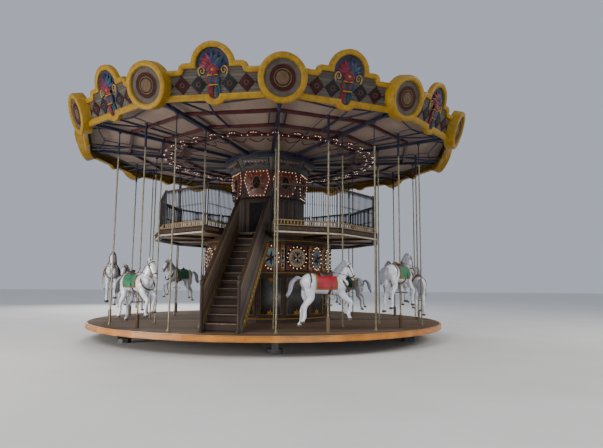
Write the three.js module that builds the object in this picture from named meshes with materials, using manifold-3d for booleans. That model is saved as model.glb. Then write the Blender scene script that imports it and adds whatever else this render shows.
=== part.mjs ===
import * as THREE from 'three';
import { mergeVertices } from 'three/addons/utils/BufferGeometryUtils.js';
import Module from 'manifold-3d';

const wasm = await Module();
wasm.setup();

// Double-decker fairground carousel. Millimetres, +Z up, origin on the ground on the axis of rotation.
// Azimuth 0 points along -Y and grows towards +X. Twelve bays; the stair climbs through bay 1.

// General
const BAYS = 12;
const BAY = 360 / BAYS;
const STAIR_BAY = 1;
const FIRST_HORSE_BAY = 2;
const REST_GAP = 0.3;
const WELD = 10;
const CUT_PAST = 200;
const ROUND_SIDES = 48;
const ROD_SIDES = 8;

// Fixed base under the platform
const PEDESTAL_FLANGE_R = 700;
const PEDESTAL_FLANGE_H = 130;
const PEDESTAL_TAPER = 40;
const PEDESTAL_HEAD_H = 40;
const PEDESTAL_NECK = 20;
const PEDESTAL_R = 420;
const PEDESTAL_TOP_R = 520;
const PEDESTAL_TOP_Z = 300;
const SPIGOT_R = 80;
const SPIGOT_TOP_Z = 392;
const SPIGOT_SIDES = 24;
const SPIGOT_BORE_R = SPIGOT_R / Math.cos(Math.PI / SPIGOT_SIDES) + 0.2;
const BASE_BEAMS = 6;
const BASE_BEAM_W = 140;
const BASE_BEAM_LOW = 90;
const BASE_BEAM_HIGH = 250;
const BASE_REACH = 4300;
const BASE_RING_R = 900;
const BASE_BEAM_SEAT = 60;
const BASE_TIE_R = 2700;
const BASE_TIE_W = 100;
const FOOT_R = 170;
const FOOT_AT = 4130;

// Rotating platform
const RUNNING_GAP = 5;
const PLATFORM_LOW = 310;
const DECK_LOW = 400;
const PLATFORM_TOP = 440;
const PLATFORM_R = 4930;
const RIM_T = 40;
const PLATFORM_BORE_R = 600;
const JOIST_W = 80;
const JOIST_RING_W = 150;
const JOIST_TIE_R = 4700;

// Machine housing in the centre of the lower level
const DRUM_SIDES = 16;
const DRUM_R = 1830;
const DRUM_BAND = 30;
const DRUM_BANDS = [[PLATFORM_TOP, 560], [1700, 1790], [2560, 2670]];

// Upper deck
const UPPER_R = 3290;
const UPPER_BEAM_LOW = 2670;
const UPPER_FLOOR_LOW = 2740;
const UPPER_TOP = 2800;
const UPPER_BEAM_W = 80;
const UPPER_RING_W = 90;
const UPPER_INNER_RING_W = 250;
const FASCIA_T = 40;
const FASCIA_LOW = 2660;
const FASCIA_TOP = 2860;
const GUARD_TOP = 3860;
const GUARD_T = 30;
const GUARD_INSET = 30;
const GUARD_RAIL = 60;
const GUARD_KICK = 180;
const GUARD_BAR = 26;
const GUARD_BAR_PITCH = 130;
const STAIR_GUARD_FROM = 1900;
const STAIR_GUARD_TO = 3220;

// Stair
const STAIR_AZIMUTH = -BAY / 2;
const RISERS = 13;
const STAIR_FOOT_R = 4350;
const STAIR_HEAD_R = 1880;
const TREAD_HALF = 380;
const WALL_T = 45;
const WALL_RISE = 940;
const WALL_DROP = 250;
const WALL_TOE = 90;
const FLIGHT_SLAB = 170;

// Hub above the upper deck
const HUB_SIDES = 8;
const HUB_WALL_R = 1040;
const HUB_CORBEL = 30;
const HUB_PANEL_LOW = [1100, 3890];
const HUB_PANEL_HIGH = [1150, 4670];
const HUB_FLANGE_R = 1340;
const HUB_FLANGE_LOW = 4985;
const HUB_FLANGE_TOP = 5130;

// Top frame: the sweeps rise from the hub to the crown, with the rails and the lining over them
const SWEEP_LOW = 5050;
const SWEEP_SLOPE = 0.0575;
const SWEEP_W = 80;
const SWEEP_H = 80;
const RAIL_W = 60;
const RAIL_H = 60;
const RAIL_RADII = [2720, 3350, 4220];
const ROD_R = 30;
const ROD_RADII = [3378, 4500];
const FRAME_PARTS = 4;
const LINING_EDGE_R = 5280;
const LINING_T = 8;
const LINING_HOLE_R = 1240;

// Crown
const CROWN_R = 5500;
const CROWN_Z = 5490;
const CROWN_LEAN = THREE.MathUtils.degToRad(18.8);
const BOARD_T = 100;
const FIELD_BACK = 45;
const TRIM_W = 115;
const BOARD_LOW = -365;
const BOARD_FLAT = 260;
const BOARD_SPRING = 327;
const ARCH_R = 460;
const SHOULDER_END = 730;
const SHOULDER_R = 130;
const ARCH_START = 8;
const BULGE_R = 290;
const BULGE_CENTRE = -170;
const BULGE_START = 222.3;
const BOTTOM_TRIM = 135;
const INNER_BULGE_R = 105;
const BOARD_OVERLAP = 40;
const ROUNDEL_SIDES = 16;
const ROUNDEL_R = 493;
const ROUNDEL_FIELD_R = 365;
const ROUNDEL_FRONT = 80;
const ROUNDEL_BACK = -170;
const ROUNDEL_FACE = 20;
const CROWN_CUT = 900;
const HOOP_OUTER = 5379.7;
const HOOP_W = 104;
const HOOP_LOW = 5460;
const HOOP_HIGH = 5520;

// Roof
const ROOF_EAVE_R = 5300;
const ROOF_TOP_R = 340;
const ROOF_TOP_Z = 7060;
const ROOF_T = 16;
const ROOF_LIP = 64;

// Horses
const HORSE_R = 4350;
const POLE_R = 25;
const POLE_TOP = 4700;
const STROKE = 260;
const SLEEVE_R = 42;
const SLEEVE_H = 300;
const SLEEVE_SLACK = 0.8;
const POLE_CLEAR = 20;
const POLE_FOOT = PLATFORM_TOP + POLE_CLEAR;
const LEG_SPREAD = 95;
const LEG_LIFT = 40;

// Stations along the horse's solid: forward, height above the ground, half height, half width
const TRUNK = [[-600, 1450, 110, 90], [-400, 1475, 225, 180], [-60, 1450, 195, 175], [220, 1450, 215, 170],
  [385, 1440, 100, 80]];
const NECK_AND_HEAD = [[160, 1500, 180, 105], [330, 1730, 120, 75], [440, 1880, 85, 60], [520, 1740, 78, 58],
  [590, 1600, 48, 42]];
const TAIL = [[-570, 1530, 50, 45], [-780, 1450, 80, 60], [-960, 1170, 30, 25]];
const SADDLE = [[-240, 1700, 45, 110], [-90, 1660, 50, 150], [85, 1690, 35, 80]];
const FORELEG = [[230, 1400, 95, 60], [490, 1120, 48, 40], [430, 780, 40, 38]];
const HIND_LEG = [[-420, 1420, 130, 75], [-530, 1000, 50, 42], [-620, 620, 42, 40]];

const rad = THREE.MathUtils.degToRad;

// A three.js geometry as a closed manifold solid
function solid(geometry) {
  const bare = geometry.clone();
  bare.deleteAttribute('normal');
  bare.deleteAttribute('uv');
  const merged = mergeVertices(bare, 1e-4);
  const vertProperties = new Float32Array(merged.attributes.position.array);
  let triVerts = new Uint32Array(merged.index.array);
  if (signedVolume(vertProperties, triVerts) < 0) {
    triVerts = triVerts.map((value, i) => merged.index.array[i % 3 === 0 ? i : i % 3 === 1 ? i + 1 : i - 1]);
  }
  return new wasm.Manifold(new wasm.Mesh({ numProp: 3, vertProperties, triVerts }));
}

// Six times the volume that a triangle list encloses, negative if it is inside out
function signedVolume(positions, triangles) {
  let sum = 0;
  const a = new THREE.Vector3();
  const b = new THREE.Vector3();
  const c = new THREE.Vector3();
  for (let i = 0; i < triangles.length; i += 3) {
    a.fromArray(positions, 3 * triangles[i]);
    b.fromArray(positions, 3 * triangles[i + 1]);
    c.fromArray(positions, 3 * triangles[i + 2]);
    sum += a.dot(b.cross(c));
  }
  return sum;
}

function union(solids) {
  return solids.reduce((whole, next) => whole.add(next));
}

function polar(radius, azimuth, z = 0) {
  return new THREE.Vector3(radius * Math.sin(rad(azimuth)), -radius * Math.cos(rad(azimuth)), z);
}

// A ring, disc or turned shape about the Z axis, with its first corner at azimuth start
function turned(profile, sides, start = 0) {
  const points = profile.map(([r, z]) => new THREE.Vector2(r, z));
  return solid(new THREE.LatheGeometry(points, sides, rad(start)).rotateX(Math.PI / 2));
}

function ring(outer, inner, low, high, sides, start = 0) {
  return turned([[inner, low], [outer, low], [outer, high], [inner, high], [inner, low]], sides, start);
}

function disc(radius, low, high, sides, start = 0) {
  return turned([[0, low], [radius, low], [radius, high], [0, high]], sides, start);
}

// A box by its limits along the outward direction, across it and up, then turned to an azimuth
function spoke(inner, outer, left, right, low, high, azimuth) {
  const box = new THREE.BoxGeometry(right - left, outer - inner, high - low);
  box.translate((left + right) / 2, -(inner + outer) / 2, (low + high) / 2);
  return solid(box.rotateZ(rad(azimuth)));
}

function rod(radius, low, high, at, sides = ROD_SIDES) {
  const bar = new THREE.CylinderGeometry(radius, radius, high - low, sides);
  bar.rotateX(Math.PI / 2).translate(at.x, at.y, (low + high) / 2);
  return solid(bar);
}

// An outline in a plane, given depth behind it
function plate(outline, depth) {
  const shape = new THREE.Shape(outline.map(([x, y]) => new THREE.Vector2(x, y)));
  const geometry = new THREE.ExtrudeGeometry(shape, { depth, bevelEnabled: false });
  return geometry.translate(0, 0, -depth);
}

// An outline of radius and height, in the upright plane at an azimuth, given its width
function radialPlate(outline, left, right, azimuth) {
  const geometry = plate(outline.map(([r, z]) => [-r, z]), right - left);
  geometry.rotateX(Math.PI / 2).rotateZ(Math.PI / 2).translate(right, 0, 0);
  return solid(geometry.rotateZ(rad(azimuth)));
}

function arc(cx, cy, r, from, to, steps) {
  const points = [];
  for (let i = 0; i <= steps; i++) {
    const angle = rad(from + (to - from) * i / steps);
    points.push([cx + r * Math.cos(angle), cy + r * Math.sin(angle)]);
  }
  return points;
}

// Materials, by what each piece is finished in
const finish = {
  steel: new THREE.MeshStandardMaterial({ color: 0x3b3d42, roughness: 0.6, metalness: 0.6 }),
  boards: new THREE.MeshStandardMaterial({ color: 0x6b4a33, roughness: 0.75 }),
  orange: new THREE.MeshStandardMaterial({ color: 0xb8662a, roughness: 0.5 }),
  red: new THREE.MeshStandardMaterial({ color: 0x7c2420, roughness: 0.45 }),
  dark: new THREE.MeshStandardMaterial({ color: 0x2b2523, roughness: 0.6 }),
  navy: new THREE.MeshStandardMaterial({ color: 0x1c2030, roughness: 0.5, metalness: 0.3 }),
  cloth: new THREE.MeshStandardMaterial({ color: 0x8d7a66, roughness: 0.9 }),
  gold: new THREE.MeshStandardMaterial({ color: 0xc99a26, roughness: 0.4 }),
  brown: new THREE.MeshStandardMaterial({ color: 0x4a3427, roughness: 0.6 }),
  white: new THREE.MeshStandardMaterial({ color: 0xb9bcc4, roughness: 0.4 }),
};

const carousel = new THREE.Group();

function add(name, body, material) {
  const mesh = body.getMesh();
  const geometry = new THREE.BufferGeometry();
  geometry.setAttribute('position', new THREE.BufferAttribute(mesh.vertProperties, 3));
  geometry.setIndex(new THREE.BufferAttribute(mesh.triVerts, 1));
  geometry.computeVertexNormals();
  const piece = new THREE.Mesh(geometry, material);
  piece.name = name;
  carousel.add(piece);
}

const bayName = (stem, bay) => `${stem}_${String(bay).padStart(2, '0')}`;
const bayAzimuth = (bay) => STAIR_AZIMUTH + BAY * (bay - STAIR_BAY);
const horseBays = Array.from({ length: BAYS - 1 }, (_, i) => FIRST_HORSE_BAY + i);

// The fixed base: a star of beams on feet, tied by a ring
function baseFrame() {
  const parts = [
    ring(BASE_RING_R, PEDESTAL_FLANGE_R + REST_GAP, BASE_BEAM_LOW, BASE_BEAM_HIGH, SPIGOT_SIDES),
    ring(BASE_TIE_R, BASE_TIE_R - BASE_TIE_W, BASE_BEAM_LOW, BASE_BEAM_HIGH, BAYS),
  ];
  for (let i = 0; i < BASE_BEAMS; i++) {
    const azimuth = i * 360 / BASE_BEAMS;
    parts.push(spoke(BASE_RING_R - BASE_BEAM_SEAT, BASE_REACH, -BASE_BEAM_W / 2, BASE_BEAM_W / 2,
      BASE_BEAM_LOW, BASE_BEAM_HIGH, azimuth));
    parts.push(rod(FOOT_R, 0, BASE_BEAM_LOW + WELD, polar(FOOT_AT, azimuth)));
  }
  return union(parts);
}

// The fixed pedestal with the spigot that the slewing ring turns on
function pedestal() {
  return turned([
    [0, 0], [PEDESTAL_FLANGE_R, 0], [PEDESTAL_FLANGE_R, PEDESTAL_FLANGE_H],
    [PEDESTAL_R, PEDESTAL_FLANGE_H + PEDESTAL_TAPER], [PEDESTAL_R, PEDESTAL_TOP_Z - PEDESTAL_HEAD_H - PEDESTAL_NECK],
    [PEDESTAL_TOP_R, PEDESTAL_TOP_Z - PEDESTAL_HEAD_H], [PEDESTAL_TOP_R, PEDESTAL_TOP_Z],
    [SPIGOT_R, PEDESTAL_TOP_Z], [SPIGOT_R, SPIGOT_TOP_Z], [0, SPIGOT_TOP_Z],
  ], SPIGOT_SIDES);
}

function slewingRing() {
  return ring(PLATFORM_BORE_R - REST_GAP, SPIGOT_BORE_R, PEDESTAL_TOP_Z + RUNNING_GAP, DECK_LOW - REST_GAP,
    SPIGOT_SIDES);
}

function platformFrame() {
  const reach = PLATFORM_R - RIM_T - REST_GAP;
  const parts = [
    ring(PLATFORM_BORE_R + JOIST_RING_W, PLATFORM_BORE_R, PLATFORM_LOW, DECK_LOW - REST_GAP, SPIGOT_SIDES),
    ring(JOIST_TIE_R, JOIST_TIE_R - JOIST_W, PLATFORM_LOW, DECK_LOW - REST_GAP, BAYS),
  ];
  for (let k = 0; k < BAYS; k++) {
    const end = reach - JOIST_W / 2 * Math.tan(Math.PI / ROUND_SIDES);
    parts.push(spoke(PLATFORM_BORE_R + JOIST_RING_W / 2, end, -JOIST_W / 2, JOIST_W / 2,
      PLATFORM_LOW, DECK_LOW - REST_GAP, k * BAY));
  }
  return union(parts);
}

// The boarded floor, with a sleeve for each horse pole
function platformDeck() {
  let deck = disc(PLATFORM_R - RIM_T - REST_GAP, DECK_LOW, PLATFORM_TOP, ROUND_SIDES);
  for (const bay of horseBays) {
    const at = polar(HORSE_R, bayAzimuth(bay));
    const tube = rod(SLEEVE_R, PLATFORM_TOP - WELD, PLATFORM_TOP + SLEEVE_H, at);
    const bore = rod(POLE_R + SLEEVE_SLACK, PLATFORM_TOP, PLATFORM_TOP + SLEEVE_H + WELD, at);
    deck = deck.add(tube.subtract(bore));
  }
  return deck;
}

function platformRim() {
  return ring(PLATFORM_R, PLATFORM_R - RIM_T, PLATFORM_LOW, PLATFORM_TOP, ROUND_SIDES);
}

// The housing, a prism with raised bands at the foot, under the lit panels and at the top
function centreDrum() {
  const low = PLATFORM_TOP + REST_GAP;
  const high = UPPER_BEAM_LOW - REST_GAP;
  const profile = [[0, low]];
  for (const [from, to] of DRUM_BANDS) {
    const bandLow = Math.max(from, low);
    const bandHigh = Math.min(to, high);
    if (bandLow > low) profile.push([DRUM_R, bandLow]);
    profile.push([DRUM_R + DRUM_BAND, bandLow], [DRUM_R + DRUM_BAND, bandHigh]);
    if (bandHigh < high) profile.push([DRUM_R, bandHigh]);
  }
  profile.push([0, high]);
  return turned(profile, DRUM_SIDES, 360 / DRUM_SIDES / 2);
}

// The bay that the stair takes out of the upper deck, from one radial beam to the next
function stairwell() {
  const half = (r) => r * Math.tan(rad(BAY / 2)) - UPPER_BEAM_W / 2 / Math.cos(rad(BAY / 2));
  const far = UPPER_R + CUT_PAST;
  const corners = [[-half(STAIR_HEAD_R), -STAIR_HEAD_R], [half(STAIR_HEAD_R), -STAIR_HEAD_R], [half(far), -far],
    [-half(far), -far]];
  const high = FASCIA_TOP + CUT_PAST;
  const geometry = plate(corners, high - FASCIA_LOW + CUT_PAST).translate(0, 0, high);
  return solid(geometry.rotateZ(rad(STAIR_AZIMUTH)));
}

function upperDeckBeams() {
  const parts = [
    ring(DRUM_R, DRUM_R - UPPER_INNER_RING_W, UPPER_BEAM_LOW, UPPER_FLOOR_LOW - REST_GAP, BAYS),
    ring(UPPER_R - REST_GAP, UPPER_R - UPPER_RING_W, UPPER_BEAM_LOW, UPPER_FLOOR_LOW - REST_GAP, BAYS),
  ];
  for (let k = 0; k < BAYS; k++) {
    parts.push(spoke(DRUM_R - UPPER_INNER_RING_W / 2, UPPER_R - UPPER_RING_W / 2, -UPPER_BEAM_W / 2, UPPER_BEAM_W / 2,
      UPPER_BEAM_LOW, UPPER_FLOOR_LOW - REST_GAP, k * BAY));
  }
  return union(parts).subtract(stairwell());
}

function upperDeckFloor() {
  return disc(UPPER_R - REST_GAP, UPPER_FLOOR_LOW, UPPER_TOP, BAYS).subtract(stairwell());
}

function upperDeckFascia() {
  return ring(UPPER_R + FASCIA_T, UPPER_R, FASCIA_LOW, FASCIA_TOP, BAYS).subtract(stairwell());
}

// One flat guard of upright bars between two rails; block makes a box by its limits along it, through it and up
function guard(from, to, block) {
  const low = UPPER_TOP + REST_GAP;
  const span = to - from - 2 * GUARD_RAIL;
  const gaps = Math.round(span / GUARD_BAR_PITCH);
  const pitch = (span + GUARD_BAR) / gaps;
  const slots = [];
  for (let i = 0; i < gaps; i++) {
    const x = from + GUARD_RAIL + i * pitch;
    slots.push(block(x, x + pitch - GUARD_BAR, -WELD, GUARD_T + WELD, low + GUARD_KICK, GUARD_TOP - GUARD_RAIL));
  }
  return block(from, to, 0, GUARD_T, low, GUARD_TOP).subtract(union(slots));
}

function edgeGuard(bay) {
  const inner = UPPER_R * Math.cos(rad(BAY / 2)) - GUARD_INSET - GUARD_T;
  const half = inner * Math.tan(rad(BAY / 2)) - GUARD_T;
  return guard(-half, half, (from, to, near, far, low, high) => (
    spoke(inner + near, inner + far, from, to, low, high, bayAzimuth(bay))));
}

// A guard over the radial beam at one side of the stair's bay
function stairGuard(side) {
  return guard(STAIR_GUARD_FROM, STAIR_GUARD_TO, (from, to, near, far, low, high) => (
    spoke(from, to, near - GUARD_T / 2, far - GUARD_T / 2, low, high, STAIR_AZIMUTH + side * BAY / 2)));
}

// The stair's rise line, at the nosings
const goingOf = (STAIR_FOOT_R - STAIR_HEAD_R) / (RISERS - 1);
const riserOf = (UPPER_TOP - PLATFORM_TOP) / RISERS;
const nosingZ = (r) => PLATFORM_TOP + riserOf + (STAIR_FOOT_R - r) * riserOf / goingOf;

function stairFlight() {
  const outline = [];
  for (let k = 0; k < RISERS - 1; k++) {
    const r = STAIR_FOOT_R - k * goingOf;
    outline.push([r, PLATFORM_TOP + k * riserOf + (k === 0 ? REST_GAP : 0)]);
    outline.push([r, PLATFORM_TOP + (k + 1) * riserOf]);
  }
  const last = STAIR_HEAD_R + REST_GAP;
  outline.push([last, PLATFORM_TOP + (RISERS - 1) * riserOf]);
  outline.push([last, nosingZ(last) - riserOf - FLIGHT_SLAB]);
  const footZ = PLATFORM_TOP + REST_GAP;
  outline.push([STAIR_FOOT_R - FLIGHT_SLAB * goingOf / riserOf, footZ]);
  return radialPlate(outline, -TREAD_HALF, TREAD_HALF, STAIR_AZIMUTH);
}

function stairWall(side) {
  const foot = STAIR_FOOT_R + WALL_TOE;
  const head = STAIR_HEAD_R + REST_GAP;
  const lowAt = STAIR_FOOT_R - (WALL_DROP - riserOf) * goingOf / riserOf;
  const outline = [
    [foot, PLATFORM_TOP + REST_GAP], [foot, nosingZ(foot) + WALL_RISE], [head, nosingZ(head) + WALL_RISE],
    [head, nosingZ(head) - WALL_DROP], [lowAt, PLATFORM_TOP + REST_GAP],
  ];
  const inner = TREAD_HALF + REST_GAP;
  return side > 0 ? radialPlate(outline, inner, inner + WALL_T, STAIR_AZIMUTH)
    : radialPlate(outline, -inner - WALL_T, -inner, STAIR_AZIMUTH);
}

function hubDrum() {
  return turned([
    [0, UPPER_TOP + REST_GAP], [HUB_WALL_R, UPPER_TOP + REST_GAP], [HUB_WALL_R, HUB_PANEL_LOW[1] - HUB_CORBEL],
    HUB_PANEL_LOW, HUB_PANEL_HIGH, [0, HUB_PANEL_HIGH[1]],
  ], HUB_SIDES);
}

function hubSoffit() {
  const low = HUB_PANEL_HIGH[1] + REST_GAP;
  const cone = turned([[0, low], [HUB_PANEL_HIGH[0], low], [HUB_FLANGE_R - WELD, HUB_FLANGE_LOW],
    [HUB_FLANGE_R - WELD, HUB_FLANGE_LOW + WELD], [0, HUB_FLANGE_LOW + WELD]], HUB_SIDES);
  return cone.add(disc(HUB_FLANGE_R, HUB_FLANGE_LOW, HUB_FLANGE_TOP, 2 * BAYS));
}

// The underside of a sweep, the seat of the rails on it and the underside of the lining on the rails
const sweepUnder = (r) => SWEEP_LOW + (r - HUB_FLANGE_R) * SWEEP_SLOPE;
const railSeat = (r) => sweepUnder(r) + SWEEP_H - WELD;
const liningUnder = (r) => railSeat(r) + RAIL_H + REST_GAP;

// The radius of a roundel's back at a height
function roundelBack(z) {
  const back = CROWN_R + ROUNDEL_BACK * Math.cos(CROWN_LEAN);
  return back + Math.tan(CROWN_LEAN) * (z - CROWN_Z + ROUNDEL_BACK * Math.sin(CROWN_LEAN));
}

// Where a line along a sweep, this far above its underside, meets the back of a roundel
function sweepEnd(above) {
  const end = roundelBack(sweepUnder(0) + above) / (1 - Math.tan(CROWN_LEAN) * SWEEP_SLOPE) - REST_GAP;
  return [end, sweepUnder(end) + above];
}

// Radial sweeps, the rails on them and the rods that hang the platform
function topFrame() {
  const parts = RAIL_RADII.map((r) => {
    const seat = railSeat(r - RAIL_W);
    return ring(r, r - RAIL_W, seat, seat + RAIL_H, BAYS);
  });
  const root = HUB_FLANGE_R + REST_GAP;
  const outline = [[root, sweepUnder(root)], sweepEnd(0), sweepEnd(SWEEP_H), [root, sweepUnder(root) + SWEEP_H]];
  for (let k = 0; k < BAYS; k++) {
    parts.push(radialPlate(outline, -SWEEP_W / 2, SWEEP_W / 2, k * BAY));
    for (const r of ROD_RADII) {
      parts.push(rod(ROD_R, PLATFORM_TOP + REST_GAP, sweepUnder(r) + WELD, polar(r, k * BAY)));
    }
  }
  return union(parts);
}

// A wedge of the full height, used to part the top frame at the middle of a bay
function wedge(from, to) {
  const reach = 2 * CROWN_R;
  const corners = [[0, 0]];
  for (let i = 0; i <= 3; i++) {
    const corner = polar(reach, from + (to - from) * i / 3);
    corners.push([corner.x, corner.y]);
  }
  const inset = polar(1, (from + to) / 2).multiplyScalar(REST_GAP);
  const geometry = plate(corners, 2 * CROWN_Z);
  return solid(geometry.translate(inset.x, inset.y, 2 * CROWN_Z));
}

// Twelve flat slopes laid over the rails, from the hub to the backs of the roundels
function canopyLining() {
  const inner = [LINING_HOLE_R, liningUnder(LINING_HOLE_R)];
  const outer = [LINING_EDGE_R, liningUnder(LINING_EDGE_R)];
  return turned([inner, outer, [outer[0], outer[1] + LINING_T], [inner[0], inner[1] + LINING_T], inner], BAYS);
}

// A shape drawn flat, with X along the crown, Y up and Z outwards, set on the lean of the crown
function onCrown(body, radius, azimuth) {
  const place = new THREE.Matrix4().makeRotationZ(rad(azimuth));
  place.multiply(new THREE.Matrix4().makeTranslation(0, -radius, CROWN_Z));
  place.multiply(new THREE.Matrix4().makeRotationX(Math.PI / 2 + CROWN_LEAN));
  return body.transform(place.elements);
}

// The outer edge of a crown board: a flat, a shoulder and an arch on each side, and a bulge at the foot
function boardOutline(end) {
  return [
    [-end, BOARD_LOW], ...arc(0, BULGE_CENTRE, BULGE_R, BULGE_START, 540 - BULGE_START, 6), [end, BOARD_LOW],
    [end, BOARD_FLAT], ...arc(SHOULDER_END - SHOULDER_R, BOARD_FLAT, SHOULDER_R, 0, 90, 3),
    ...arc(0, BOARD_SPRING, ARCH_R, ARCH_START, 180 - ARCH_START, 10),
    ...arc(SHOULDER_R - SHOULDER_END, BOARD_FLAT, SHOULDER_R, 90, 180, 3), [-end, BOARD_FLAT],
  ];
}

// The inner edge of its trim, round the sunk field
function fieldOutline(end) {
  const low = BOARD_LOW + BOTTOM_TRIM;
  const flat = BOARD_FLAT - TRIM_W;
  return [
    [-end, low], ...arc(0, low, INNER_BULGE_R, 180, 360, 6), [end, low],
    [end, flat], ...arc(SHOULDER_END, BOARD_FLAT, TRIM_W, 270, 180, 3),
    ...arc(0, BOARD_SPRING, ARCH_R - TRIM_W, -ARCH_START, 180 + ARCH_START, 10),
    ...arc(-SHOULDER_END, BOARD_FLAT, TRIM_W, 0, -90, 3), [-end, flat],
  ];
}

function crownBoard(bay) {
  const half = CROWN_R * Math.sin(rad(BAY / 2)) - BOARD_OVERLAP;
  const frame = solid(plate(boardOutline(half), BOARD_T));
  const field = solid(plate(fieldOutline(half + CUT_PAST), FIELD_BACK + WELD).translate(0, 0, WELD));
  let board = onCrown(frame.subtract(field), CROWN_R * Math.cos(rad(BAY / 2)), bayAzimuth(bay));
  for (const side of [-1, 1]) board = board.subtract(roundelCutter(bayAzimuth(bay) + side * BAY / 2));
  return board;
}

function roundelCutter(azimuth) {
  const r = ROUNDEL_R + REST_GAP;
  const shape = turned([[0, -CROWN_CUT], [r, -CROWN_CUT], [r, CROWN_CUT], [0, CROWN_CUT]], ROUNDEL_SIDES);
  return onCrown(shape, CROWN_R, azimuth);
}

// A roundel is a deep drum with a raised ring round its sunk face; its back is fixed to the hoop
function roundel(azimuth) {
  const shape = turned([
    [0, ROUNDEL_FACE], [ROUNDEL_FIELD_R, ROUNDEL_FACE], [ROUNDEL_FIELD_R, ROUNDEL_FRONT], [ROUNDEL_R, ROUNDEL_FRONT],
    [ROUNDEL_R, ROUNDEL_BACK], [0, ROUNDEL_BACK],
  ], ROUNDEL_SIDES);
  return onCrown(shape, CROWN_R, azimuth);
}

// The hoop behind the crown boards, with the twelve roundels that it carries
function crownRoundels() {
  const parts = [ring(HOOP_OUTER, HOOP_OUTER - HOOP_W, HOOP_LOW, HOOP_HIGH, BAYS)];
  for (let k = 0; k < BAYS; k++) parts.push(roundel(k * BAY));
  return union(parts);
}

function roofCone() {
  const low = HOOP_HIGH + REST_GAP;
  return turned([
    [ROOF_EAVE_R, low], [ROOF_EAVE_R, low + ROOF_T], [ROOF_TOP_R, ROOF_TOP_Z], [0, ROOF_TOP_Z],
    [0, ROOF_TOP_Z - ROOF_T], [ROOF_TOP_R - ROOF_T, ROOF_TOP_Z - ROOF_T], [ROOF_EAVE_R - ROOF_LIP, low],
    [ROOF_EAVE_R, low],
  ], BAYS);
}

// A limb or trunk through rings of given centre, half height and half width, square to its own run
function limb(stations, sides) {
  const geometry = new THREE.CylinderGeometry(1, 1, 1, sides, stations.length - 1);
  const position = geometry.attributes.position;
  const spots = stations.map((s) => new THREE.Vector3(s[0], s[4] ?? 0, s[1]));
  for (let i = 0; i < position.count; i++) {
    const level = Math.round((0.5 - position.getY(i)) * (stations.length - 1));
    const before = spots[Math.max(level - 1, 0)];
    const after = spots[Math.min(level + 1, spots.length - 1)];
    const run = after.clone().sub(before).normalize();
    const across = new THREE.Vector3(0, 1, 0);
    const upright = new THREE.Vector3().crossVectors(run, across).normalize();
    const [, , tall, wide] = stations[level];
    const spot = spots[level].clone();
    spot.addScaledVector(upright, tall * position.getX(i));
    spot.addScaledVector(across, wide * position.getZ(i));
    position.setXYZ(i, spot.x, spot.y, spot.z);
  }
  return solid(geometry);
}

// A galloping horse, nose along +X, with heights above the ground when its crank is at the bottom
function horseBody() {
  const parts = [limb(TRUNK, 8), limb(NECK_AND_HEAD, 6), limb(TAIL, 4), limb(SADDLE, 4)];
  for (const side of [-1, 1]) {
    const y = side * LEG_SPREAD;
    for (const leg of [FORELEG, HIND_LEG]) {
      parts.push(limb(leg.map(([x, z, tall, wide], i) => [x + (i > 0 ? side * LEG_LIFT : 0), z, tall, wide, y]), 4));
    }
  }
  return union(parts);
}

const horseShape = horseBody();

function horse(bay) {
  const raised = isHigh(bay) ? STROKE : 0;
  const place = new THREE.Matrix4().makeRotationZ(rad(bayAzimuth(bay)));
  place.multiply(new THREE.Matrix4().makeTranslation(0, -HORSE_R, raised));
  const pole = rod(POLE_R, POLE_FOOT + raised, POLE_TOP + raised, polar(HORSE_R, bayAzimuth(bay)));
  return horseShape.transform(place.elements).add(pole);
}

function isHigh(bay) {
  return bay % 2 === 1;
}

add('base_frame', baseFrame(), finish.steel);
add('centre_pedestal', pedestal(), finish.steel);
add('slewing_ring', slewingRing(), finish.steel);
add('platform_frame', platformFrame(), finish.steel);
add('platform_deck', platformDeck(), finish.boards);
add('platform_rim', platformRim(), finish.orange);
add('centre_drum', centreDrum(), finish.red);
add('upper_deck_beams', upperDeckBeams(), finish.dark);
add('upper_deck_floor', upperDeckFloor(), finish.boards);
add('upper_deck_fascia', upperDeckFascia(), finish.dark);
add('stair_flight', stairFlight(), finish.brown);
add('stair_wall_left', stairWall(-1), finish.brown);
add('stair_wall_right', stairWall(1), finish.brown);
add('hub_drum', hubDrum(), finish.red);
add('hub_soffit', hubSoffit(), finish.dark);
add('canopy_lining', canopyLining(), finish.cloth);
add('crown_roundels', crownRoundels(), finish.gold);
add('roof_cone', roofCone(), finish.cloth);

for (const bay of horseBays) add(bayName('balustrade', bay), edgeGuard(bay), finish.dark);
add('stair_guard_left', stairGuard(-1), finish.dark);
add('stair_guard_right', stairGuard(1), finish.dark);

const frame = topFrame();
for (let q = 0; q < FRAME_PARTS; q++) {
  const from = -BAY / 2 + q * 360 / FRAME_PARTS;
  add(bayName('sweep_frame', q + 1), frame.intersect(wedge(from, from + 360 / FRAME_PARTS)), finish.navy);
}

for (let bay = 1; bay <= BAYS; bay++) add(bayName('crown_board', bay), crownBoard(bay), finish.gold);
for (const bay of horseBays) add(bayName('horse', bay), horse(bay), finish.white);

export default carousel;
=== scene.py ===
# %% [markdown]
# # A double-decker fairground carousel
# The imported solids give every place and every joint. This lesson dresses them: each piece is modelled in the
# same frame, in metres, so that nothing has to be fitted afterwards. Azimuth 0 points along -Y, towards the
# viewer, and grows towards +X. Twelve bays lie between twelve roundels, and the stair climbs through bay 1.

# %% Load the frame
import math
import random
import bmesh
import bpy
from mathutils import Matrix, Vector


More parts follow.
